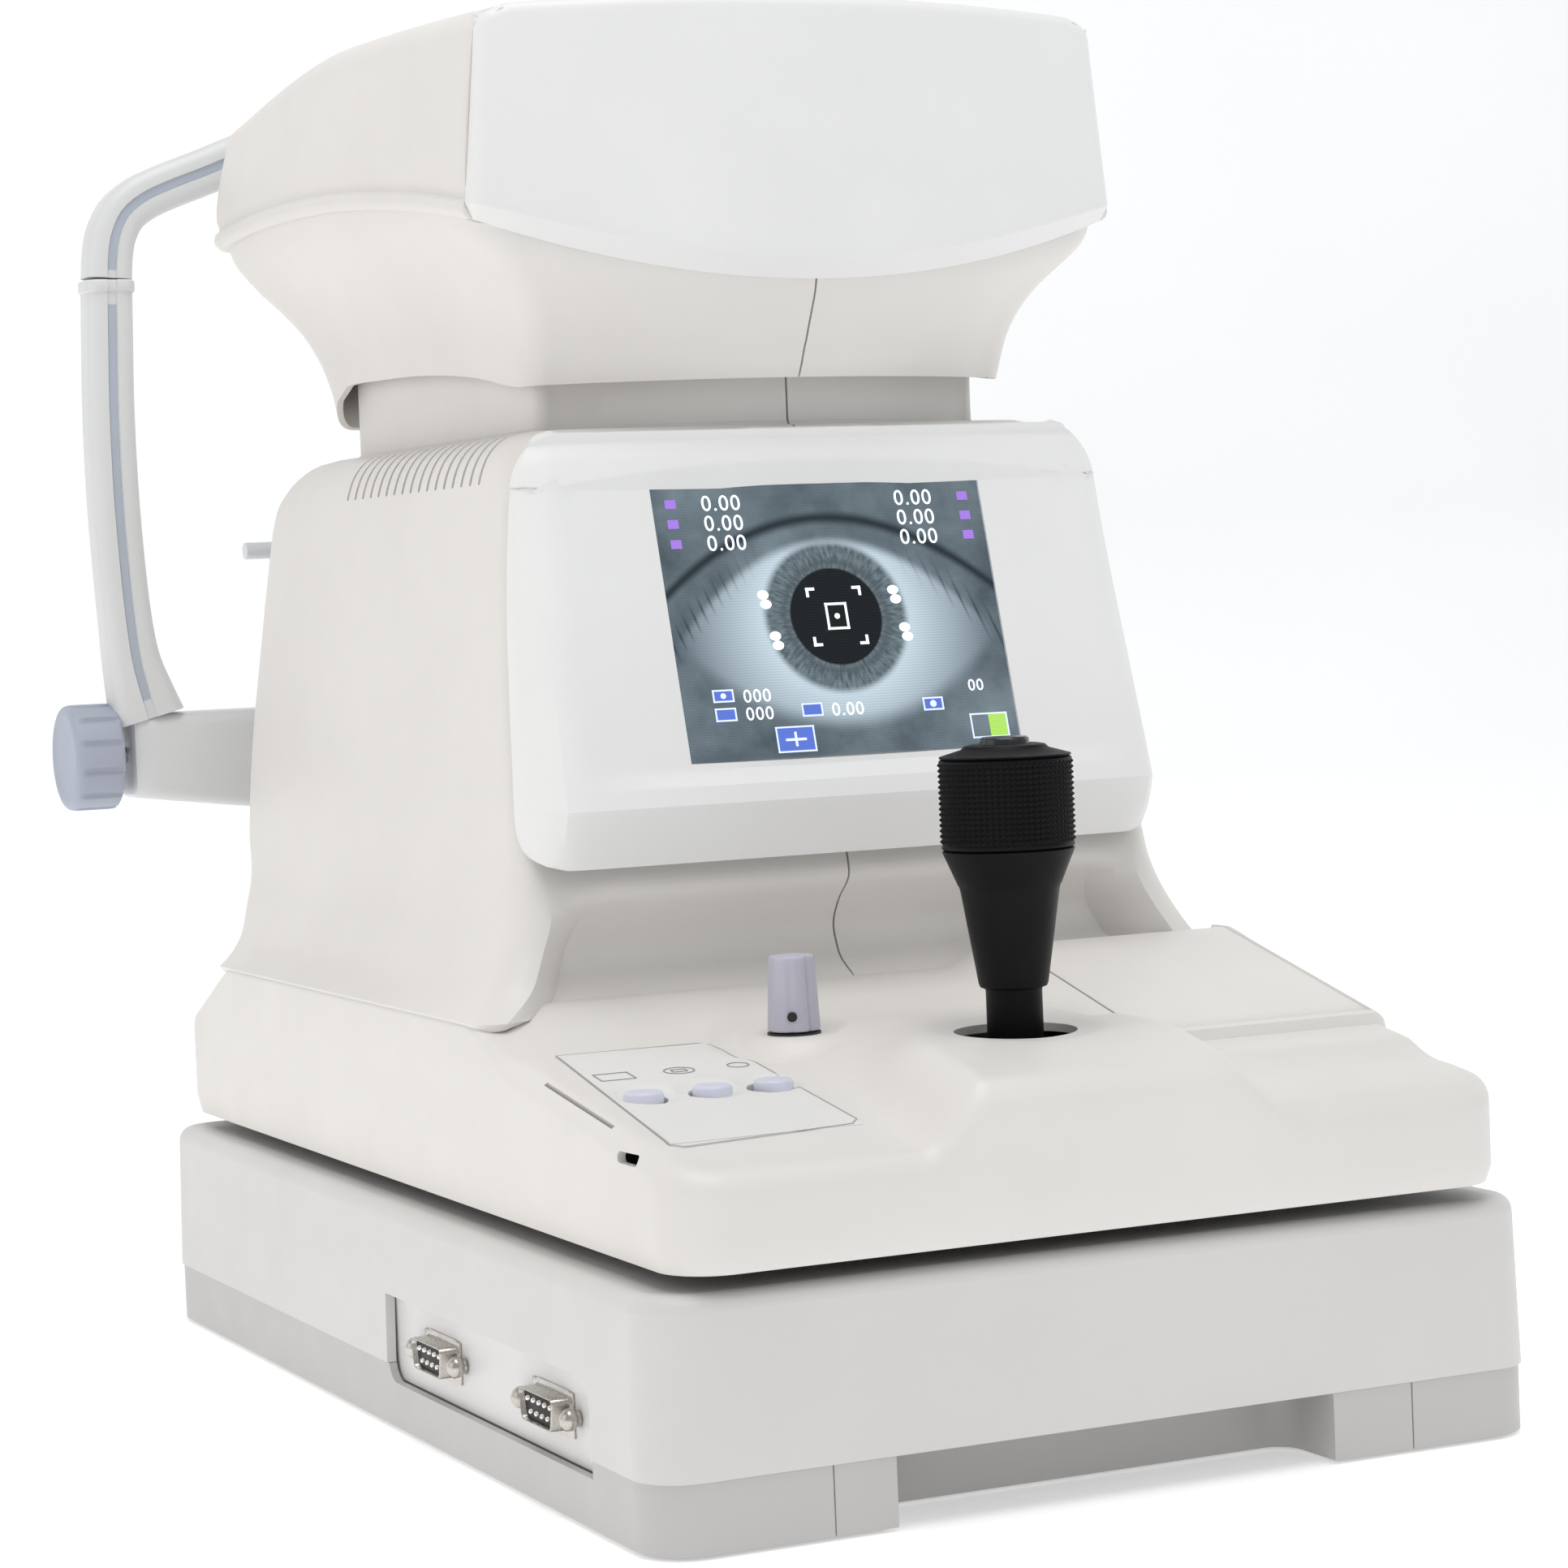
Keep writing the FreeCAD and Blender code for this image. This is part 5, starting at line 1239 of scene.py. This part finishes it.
def make_brightness_knob():
    """The tapered knob: a groove for a pointer, shallow flutes and a set screw."""
    low, high = mm("brightness_knob")
    centre = Vector(((low.x + high.x) / 2, (low.y + high.y) / 2, 0))
    foot = high.z - 22.2
    pointer = math.pi / 2 - 0.28
    rows = []
    for share, scale in [(0, 0.97), (0.03, 1), (0.5, 1), (0.93, 1), (0.97, 0.985), (1, 0.93)]:
        row = []
        for i in range(120):
            turn = 2 * math.pi * i / 120
            radius = mix(7.9, 6.75, share) * scale
            off = math.atan2(math.sin(turn + pointer), math.cos(turn + pointer))
            radius -= 0.75 * smooth(abs(off), 0.10, 0.045)
            radius -= 0.28 * smooth(abs((turn * 6 / (2 * math.pi)) % 1 - 0.5), 0.30, 0.48)
            row.append((centre.x + radius * math.cos(turn), centre.y + radius * math.sin(turn),
                        mix(foot, high.z, share)))
        rows.append(row)
    for share in (0.8, 0.4, 0.02):
        rows.append([(mix(centre.x, x, share), mix(centre.y, y, share), high.z)
                     for x, y, _ in rows[5]])
    grip = grid("brightness_grip", rows, closed=True, caps=True)
    grip = soften(grip, 0.25, 2, 35)
    piece(grip, "brightness", "knob_lilac", DECK_LILAC, "brightness_knob")
    dot = cylinder("brightness_screw", 1.45, -0.3, 0.25, (0, 0, 0), "Y")
    dot.data.transform(Matrix.Rotation(math.radians(-28), 4, "Z"))
    turn = math.radians(-118)
    spot = centre + Vector((7.72 * math.cos(turn), 7.72 * math.sin(turn), foot + 4.6))
    dot.data.transform(Matrix.Translation(spot * MM))
    piece(dot, "brightness", "knob_lilac", DARK)
    washer = revolve("brightness_washer", [(3.6, 122.3), (8.0, 122.3), (8.0, 123.0), (3.6, 123.0)],
                     (centre.x, centre.y, 0))
    piece(washer, "stage", "socket_black", DARK)


def make_printer():
    """The lid with its hinge pin and knuckles, and the paper slot's cutter."""
    left, right = 49.3, 127.9

    def plane(y):
        return 119.9 + (y + 156) * LID_RISE
    rows = []
    for y in [-157.3, -156.9] + spread(-156, -75.6, 22) + [-75.0, -74.6]:
        edge = smooth(y, -157.5, -155.9) * smooth(y, -74.4, -76)
        if y < -157:
            rows.append([(x, y, plane(y) - 4.4) for x in
                         [left, left] + spread(left + 0.8, right - 0.8, 24) + [right, right]])
        row = [(left, y, plane(y) - 2.1), (left, y, plane(y) - 0.7 - 1 + edge)]
        row += [(x, y, plane(y) - 0.9 * (1 - edge)) for x in spread(left + 0.8, right - 0.8, 24)]
        row += [(right, y, plane(y) - 0.7 - 1 + edge), (right, y, plane(y) - 2.1)]
        rows.append(row)
    lid = grid("printer_lid_plate", rows)
    thicken(lid, 1.6)
    pin = cylinder("pin", 1.55, 46.8, 129.8, (0, 0, 0), "X")
    pin.data.transform(Matrix.Translation(Vector((0, -77, 135.7)) * MM))
    knuckles = [rounded_box("knuckle", (x, -82, 134.4), (x + 6, -76.9, 137), 0.4) for x in
                (57, 114)]
    lid = join("printer_lid_plate", [lid, pin] + knuckles)
    piece(lid, "lid", "shell_white", SHELL, "printer_lid", angle=40)
    teeth = []
    for i in range(76):
        x = mix(55.5, 122, i / 75)
        teeth.append((x, -159.6, 118.0))
        teeth.append((x + 0.44, -158.6, 118.5))
    back = [(x, -156.6, 118.2) for x, _, _ in teeth]
    cutter = grid("paper_cutter", [teeth, back])
    thicken(cutter, 0.6)
    piece(cutter, "stage", "shaft_steel", STEEL)


# ---------------------------------------------------------------- joystick

def make_joystick():
    """The lever, its knurled ring and the button in its cap."""
    stem = [(0.01, 86), (7.8, 86), (8.1, 86.4), (8.1, 136.6), (8.4, 137.2), (9.6, 137.6),
            (10.0, 138.6), (14.2, 165.2), (14.5, 166.4), (14.9, 167.0), (17.6, 173.4),
            (18.7, 175.9), (19.0, 176.7), (18.6, 177.0), (15.45, 177.0), (15.45, 203.1),
            (18.5, 203.1), (18.9, 203.4), (18.8, 203.8), (12.6, 205.6), (12.2, 206.0),
            (11.6, 206.6), (9.6, 207.0), (7.6, 207.0), (7.35, 206.8), (7.35, 200), (0.01, 200)]
    lever = revolve("joystick_stem", stem, STICK, steps=96)
    pivot = revolve("pivot", [(2.95, -21), (3, -20.6), (3, 20.6), (2.95, 21)],
                    (0, STICK[1], 92), "Y", 32)
    lever = join("joystick_stem", [lever, pivot])
    piece(lever, "joystick", "grip_black", GRIP, "joystick_lever", angle=30)
    columns, layers = 132, 30
    rows = [ring_row(15.55, 177.2, columns), ring_row(18.4, 177.2, columns),
            ring_row(19.0, 177.5, columns), ring_row(19.05, 178.2, columns)]
    for layer in range(layers):
        z = mix(178.8, 201.4, layer / (layers - 1))
        row = []
        for i in range(columns):
            turn = 2 * math.pi * i / columns
            peak = layer % 2 == 1 and i % 2 == 1
            radius = 19.5 if peak else 18.72
            row.append((radius * math.cos(turn), STICK[1] + radius * math.sin(turn), z))
        rows.append(row)
    rows += [ring_row(19.05, 202.0, columns), ring_row(19.0, 202.6, columns),
             ring_row(18.4, 203.0, columns), ring_row(15.55, 203.0, columns),
             ring_row(15.55, 177.2, columns)]
    ring = grid("height_ring_grip", rows, closed=True)
    piece(ring, "ring", "grip_black", GRIP, "height_ring", angle=22)
    low, high = mm("measure_button")
    top = high.z
    button = revolve("measure_cap", [(0.01, low.z), (7.1, low.z), (7.1, top - 1.0), (6.9, top - 0.4),
                                     (6.3, top), (4, top - 0.15), (0.01, top - 0.4)], STICK)
    piece(button, "button", "button_black", GLOSS, "measure_button")


def ring_row(radius, z, count):
    return [(radius * math.cos(2 * math.pi * i / count),
             STICK[1] + radius * math.sin(2 * math.pi * i / count), z) for i in range(count)]


# ---------------------------------------------------------------- face rest

REST_Y = 252.0
POST_Y = 271            # the chin rest's post
SHAFT_Y, SHAFT_Z = 257, 203     # the chin knob's shaft


def tube_profile(wide, deep, radius=5.0, groove=True):
    """A rounded rectangle (across, depth) with a shallow groove along its near face."""
    points = []
    half_w, half_d = wide / 2, deep / 2
    floor = 1.1 - half_d if groove else -half_d
    points += [(-1.9, -half_d), (-1.5, floor), (1.5, floor), (1.9, -half_d)]
    for cx, cy, start in ((half_w - radius, -half_d + radius, -90), (half_w - radius,
                          half_d - radius, 0), (-half_w + radius, half_d - radius, 90),
                          (-half_w + radius, -half_d + radius, 180)):
        for i in range(7):
            turn = math.radians(start + 90 * i / 6)
            points.append((cx + radius * math.cos(turn), cy + radius * math.sin(turn)))
    return points


def square_to(path, i):
    """The direction square to a line of (x, z) points, at one of them."""
    before, after = path[max(i - 1, 0)], path[min(i + 1, len(path) - 1)]
    run = Vector((after[0] - before[0], 0, after[1] - before[1])).normalized()
    return Vector((run.z, 0, -run.x))


def tube_rows(path, widths):
    """Rows of a tube along a line of (x, z) points, square to it."""
    rows = []
    for i, (x, z) in enumerate(path):
        across = square_to(path, i)
        wide, deep = widths[i]
        rows.append([Vector((x, REST_Y, z)) + across * a + Vector((0, b, 0))
                     for a, b in tube_profile(wide, deep)])
    return rows


def make_face_rest():
    """The posts, the bow over them and the cross bar under them."""
    for side, node in ((-1, "left_post"), (1, "right_post")):
        keys_x = [(216, 131.5), (226, 134), (238, 136.6), (255, 138.3), (275, 139.5), (300, 140.4),
                  (330, 140.4), (355, 139.6), (374.5, 138.9)]
        keys_w = [(216, 27), (226, 23.5), (238, 20), (255, 18.2), (300, 17.6), (374.5, 17.2)]
        heights = spread(216.5, 374.3, 48)
        path = [(side * curve(keys_x, z), z) for z in heights]
        post = grid(node + "_tube", tube_rows(path, [(curve(keys_w, z), 17.0) for z in heights]),
                    closed=True, caps=True)
        collar_path = [(side * 138.9, z) for z in (372.0, 372.6, 376.0, 376.6)]
        collar = grid("collar", tube_rows(collar_path, [(17.6, 17.4), (18.6, 18.2), (18.6, 18.2),
                                                        (17.8, 17.5)]), closed=True, caps=True)
        piece(join(node + "_tube", [post, collar]), "base", "frame_white", FRAME, node)
        # the groove ribbon carries painted shade along the post's groove floor
        piece(join(node + "_groove", [tube_strip(path[2:-2])]), "base", "frame_white", GROOVE_SHADE)
    bow_keys = bow_path()
    bow = grid("bow_tube", tube_rows(bow_keys, [(17.0, 17.0)] * len(bow_keys)), closed=True,
               caps=True)
    piece(bow, "base", "frame_white", FRAME, "upper_bow")
    piece(tube_strip(bow_keys[1:-1]), "base", "frame_white", GROOVE_SHADE)
    make_crossbar()


def bow_path():
    """The bow's middle line, round two tight corners and over the forehead."""
    left = [(-138.7, 377.2), (-138.2, 384), (-136.6, 392.5), (-132.6, 400.4), (-126, 405.9),
            (-117, 410.2), (-101, 416.2), (-85, 422.6), (-68, 429.3), (-52, 434.7), (-36, 438.2),
            (-18, 440.2)]
    keys = left + [(0, 440.8)] + [(-x, z) for x, z in reversed(left)]
    lengths = [0.0]
    for (ax, az), (bx, bz) in zip(keys, keys[1:]):
        lengths.append(lengths[-1] + math.hypot(bx - ax, bz - az))
    stops = spread(0, lengths[-1], 110)
    return [(curve(list(zip(lengths, [k[0] for k in keys])), s),
             curve(list(zip(lengths, [k[1] for k in keys])), s)) for s in stops]


def tube_strip(path):
    """The bottom of the groove, as a thin ribbon along the tube's near face, coloured darker as
    painted shade.
    """
    rows = []
    for i, (x, z) in enumerate(path):
        across = square_to(path, i)
        middle = Vector((x, REST_Y - 7.55, z))
        rows.append([middle + across * a + Vector((0, b, 0)) for a, b in
                     ((-1.45, 0.2), (-1.45, 0), (1.45, 0), (1.45, 0.2))])
    return grid("groove_strip", rows, closed=True, caps=True)


def make_crossbar():
    """The cross bar, deeper towards its middle, with a round boss for the chin-rest post."""
    rows = []
    ends = [(-139.0, 0.80), (-138.3, 0.93), (-136.5, 1.0)]
    stations = ends + [(x, 1.0) for x in spread(-130, 130, 40)]
    stations += [(-x, s) for x, s in reversed(ends)]
    top = 218.0
    for x, scale in stations:
        bottom = curve([(0, 178), (60, 178.4), (93, 181.5), (139, 187.5)], abs(x))
        middle = (bottom + top) / 2
        row = []
        for a, b in tube_profile(28, (top - bottom), 6.0, groove=False):
            row.append((x, 258 + a * scale, middle + b * scale))
        rows.append(row)
    bar = grid("crossbar_body", rows, closed=True, caps=True)
    boss = cylinder("boss", 13.5, 178, 224, (0, POST_Y, 0), "Z")
    cut(bar, boss, operation="UNION")
    cut(bar, cylinder("bore", 7.06, 150, 240, (0, POST_Y, 0), "Z"),
        cylinder("shaft", 3.05, -150, 16, (0, SHAFT_Y, SHAFT_Z), "X"),
        cylinder("pocket", 10.2, -9, 9, (0, SHAFT_Y, SHAFT_Z), "X"))
    soften(bar, 0.6, 2, 45)
    piece(bar, "base", "frame_white", FRAME, "crossbar", angle=35)


def make_chin_knob():
    """The big fluted knob at the bar's left end."""
    low, high = mm("chin_knob")
    length = high.x - low.x
    rows = []
    shares = [0.0, 0.01, 0.03, 0.07, 0.12, 0.2, 0.28, 0.85, 0.93, 0.97, 1.0]
    scales = [0.86, 0.90, 0.94, 0.975, 0.992, 1.0, 1.0, 1.0, 0.995, 0.985, 0.95]
    for share, scale in zip(shares, scales):
        row = []
        for i in range(216):
            turn = 2 * math.pi * i / 216
            phase = abs((i / 18) % 1 - 0.5)
            flute = smooth(phase, 0.17, 0.06) * smooth(share, 0.10, 0.26) * smooth(share, 1.0, 0.95)
            radius = 19.45 * scale - 1.15 * flute
            row.append((low.x + length * share, SHAFT_Y + radius * math.cos(turn),
                        SHAFT_Z + radius * math.sin(turn)))
        rows.append(row)
    dish = [[(low.x + depth, mix(SHAFT_Y, y, share), mix(SHAFT_Z, z, share))
             for _, y, z in rows[0]]
            for share, depth in ((0.02, 0.9), (0.5, 0.8), (0.86, 0.5), (0.92, 0.1))]
    rows = dish + rows
    rows.append([(high.x, mix(SHAFT_Y, y, 0.2), mix(SHAFT_Z, z, 0.2)) for _, y, z in rows[-1]])
    knob = grid("chin_knob_grip", rows, closed=True, caps=True)
    piece(knob, "chin_drive", "knob_lilac", LILAC, "chin_knob", angle=40)


def make_forehead_pad():
    """The soft pad: crowned lobes that curve round the forehead."""
    low, high = mm("forehead_pad")
    middle_z = (low.z + high.z) / 2
    tall = (high.z - low.z) / 2
    near = low.y
    rows = []
    for unit in spread(-1, 1, 49):
        x = unit * (high.x - 0.3)
        end = math.sqrt(max(1 - abs(unit) ** 5, 0.0))
        deep = (5.6 + 7.8 * abs(unit) ** 1.8) * end + 0.4
        high_z = tall * (0.30 + 0.70 * end)
        row = []
        for i in range(36):
            turn = 2 * math.pi * i / 36
            c, s = math.cos(turn), math.sin(turn)
            across = math.copysign(abs(c) ** 0.62, c)
            up = math.copysign(abs(s) ** 0.62, s)
            row.append((x, near + deep / 2 + deep / 2 * across, middle_z + high_z * up))
        rows.append(row)
    pad = grid("forehead_cushion", rows, closed=True, caps=True)
    piece(pad, "base", "pad_soft", SOFT, "forehead_pad", angle=60)


# ---------------------------------------------------------------- ports

def port_outline(grow, centre_y, centre_z, x):
    """A D outline, wider at its top, with rounded corners."""
    wide, tall = 26 / 2 + grow, 9.5 / 2 + grow
    corners = [(-wide, tall), (wide, tall), (wide - 1.7, -tall), (-wide + 1.7, -tall)]
    points = []
    radius = max(2.3 + grow, 0.6)
    for i, (a, b) in enumerate(corners):
        before, after = corners[i - 1], corners[(i + 1) % 4]
        enter = (Vector(before) - Vector((a, b))).normalized()
        leave = (Vector(after) - Vector((a, b))).normalized()
        first, last = Vector((a, b)) + enter * radius, Vector((a, b)) + leave * radius
        for t in spread(0, 1, 6):
            spot = first * (1 - t) ** 2 + Vector((a, b)) * 2 * t * (1 - t) + last * t ** 2
            points.append((x, centre_y + spot.x, centre_z + spot.y))
    return points


PORT_YS = (-145, -55)
PORT_Z = 28.5


def make_ports():
    """Two nine-pin ports: rolled shells, flanges, domed screws and bright pins."""
    panel = mm("connector_panel")[0].x
    front = mm("connector_shells")[0].x
    metal_parts, pins = [], []
    for y in PORT_YS:
        rows = []
        for grow, x in ((1.9, panel - 0.1), (1.9, panel - 0.5), (0.5, panel - 0.7), (0.1, panel - 1.4),
                        (0.0, front + 0.5), (-0.15, front + 0.1), (-0.4, front), (-0.6, front + 0.3),
                        (-0.65, panel + 1.5)):
            rows.append(port_outline(grow, y, PORT_Z, x))
        metal_parts.append(grid("shell", rows, closed=True))
        plate = rounded_box("flange", (panel - 0.7, y - 15.4, PORT_Z - 6.4),
                            (panel + 0.02, y + 15.4, PORT_Z + 6.4), 0.3, 2)
        cut(plate, rounded_box("mouth", (panel - 4, y - 11.8, PORT_Z - 4),
                               (panel + 2, y + 11.8, PORT_Z + 4), 0))
        metal_parts.append(plate)
        for side in (-1, 1):
            metal_parts.append(revolve("nut", [(0.01, panel - 6.0), (1.4, panel - 5.7),
                                               (2.5, panel - 4.9), (3.1, panel - 3.7),
                                               (3.2, panel - 2.6), (2.7, panel - 1.7),
                                               (2.2, panel - 1.3), (2.4, panel - 0.4)],
                                       (0, y + side * 18.5, PORT_Z), "X", 24))
        for count, lift in ((5, 1.75), (4, -1.75)):
            for i in range(count):
                offset = (i - (count - 1) / 2) * 4.3
                pins.append(revolve("pin", [(0.01, front + 0.5), (0.5, front + 0.6),
                                            (0.82, front + 1.0), (0.82, front + 2.4),
                                            (0.01, front + 2.4)],
                                    (0, y + offset, PORT_Z + lift), "X", 14))
    piece(join("port_metal", metal_parts), "base", "nickel", NICKEL, "connector_shells", angle=40)
    piece(join("port_pins", pins), "base", "nickel", PIN_METAL, angle=50)
    inserts = []
    for y in PORT_YS:
        rows = [port_outline(grow, y, PORT_Z, x) for grow, x in
                ((-0.75, panel + 1.6), (-0.75, front + 1.7), (-1.1, front + 1.5))]
        inserts.append(grid("insert", rows, closed=True, caps=True))
    piece(join("port_inserts", inserts), "base", "insert_black", DARK, "connector_inserts")


# ---------------------------------------------------------------- surroundings

def make_floor():
    """A pale table that runs up into a backdrop."""
    nodes = Nodes("backdrop")
    cloud = nodes.span(nodes.noise(2.0, 2), 0.3, 0.7)
    nodes.link(nodes.blend(cloud, (0.90, 0.90, 0.90), (0.93, 0.93, 0.93)),
               nodes.shader.inputs["Base Color"])
    nodes.shader.inputs["Roughness"].default_value = 0.8
    nodes.shader.inputs["Emission Color"].default_value = (1.0, 1.0, 1.0, 1.0)
    nodes.shader.inputs["Emission Strength"].default_value = 0.37
    rows = []
    for y, z in [(-4000, 0), (1500, 0), (2100, 60), (2600, 320), (2900, 900), (3000, 3200)]:
        rows.append([(-4500, y, z - 0.2), (4500, y, z - 0.2)])
    floor = grid("backdrop", rows)
    face_way(floor, (0, 0, 1))
    paint(floor, nodes.material)


def area_light(name, place, target, size, power, colour):
    data = bpy.data.lights.new(name, "AREA")
    data.shape = "RECTANGLE"
    data.size, data.size_y = size
    data.energy = power
    data.color = colour
    light = bpy.data.objects.new(name, data)
    light.location = place
    light.rotation_euler = (Vector(target) - Vector(place)).to_track_quat("-Z", "Y").to_euler()
    scene.collection.objects.link(light)


def make_lights():
    world = bpy.data.worlds.new("studio")
    world.use_nodes = True
    background = world.node_tree.nodes["Background"]
    background.inputs["Color"].default_value = (0.93, 0.96, 1.0, 1)
    background.inputs["Strength"].default_value = 0.46
    scene.world = world
    middle = (0, 0, 0.22)
    area_light("key", (0.5, -1.9, 1.5), middle, (1.6, 1.2), 4.1, (0.97, 0.985, 1.0))
    area_light("warm_fill", (-2.0, 0.1, 0.9), middle, (1.5, 1.5), 5.4, (1.0, 0.92, 0.84))
    area_light("top", (-0.1, -0.45, 2.2), middle, (1.5, 1.5), 22, (1.0, 0.99, 0.97))
    area_light("right", (1.9, 0.4, 0.7), middle, (1.0, 1.2), 2.5, (1.0, 0.97, 0.93))


def make_camera():
    """The main view, from the operator's left, a little rolled."""
    place = Vector((-0.5294, -1.1684, 0.2520))
    target = Vector((0.00749, 0.0, 0.19161))
    roll = math.radians(-2.39)
    forward = (target - place).normalized()
    right = forward.cross(Vector((0, 0, 1))).normalized()
    up = right.cross(forward)
    rolled_right = right * math.cos(roll) + up * math.sin(roll)
    rolled_up = -right * math.sin(roll) + up * math.cos(roll)
    data = bpy.data.cameras.new("camera")
    data.lens = 90.84
    data.sensor_width = 36
    data.shift_x, data.shift_y = 0.0031, -0.0021
    data.dof.use_dof = False
    camera = bpy.data.objects.new("camera", data)
    turn = Matrix((rolled_right, rolled_up, -forward)).transposed().to_4x4()
    camera.matrix_world = Matrix.Translation(place) @ turn
    scene.collection.objects.link(camera)
    scene.camera = camera


# ---------------------------------------------------------------- build

scene.view_settings.view_transform = "Standard"
make_camera()
make_floor()
make_lights()
slots_of = {s["node"]: s["material_slot"] for s in frame["record"]["subparts"]}
for node, obj in frame["nodes"].items():
    if slots_of[node] in CAD_MATERIALS:
        paint(obj, CAD_MATERIALS[slots_of[node]])
make_column()
make_bezel()
make_screen()
make_rear_cover()
make_front_cover()
make_cowl()
make_tray()
make_key_panel()
make_keys()
make_brightness_knob()
make_printer()
make_joystick()
make_face_rest()
make_chin_knob()
make_forehead_pad()
make_ports()
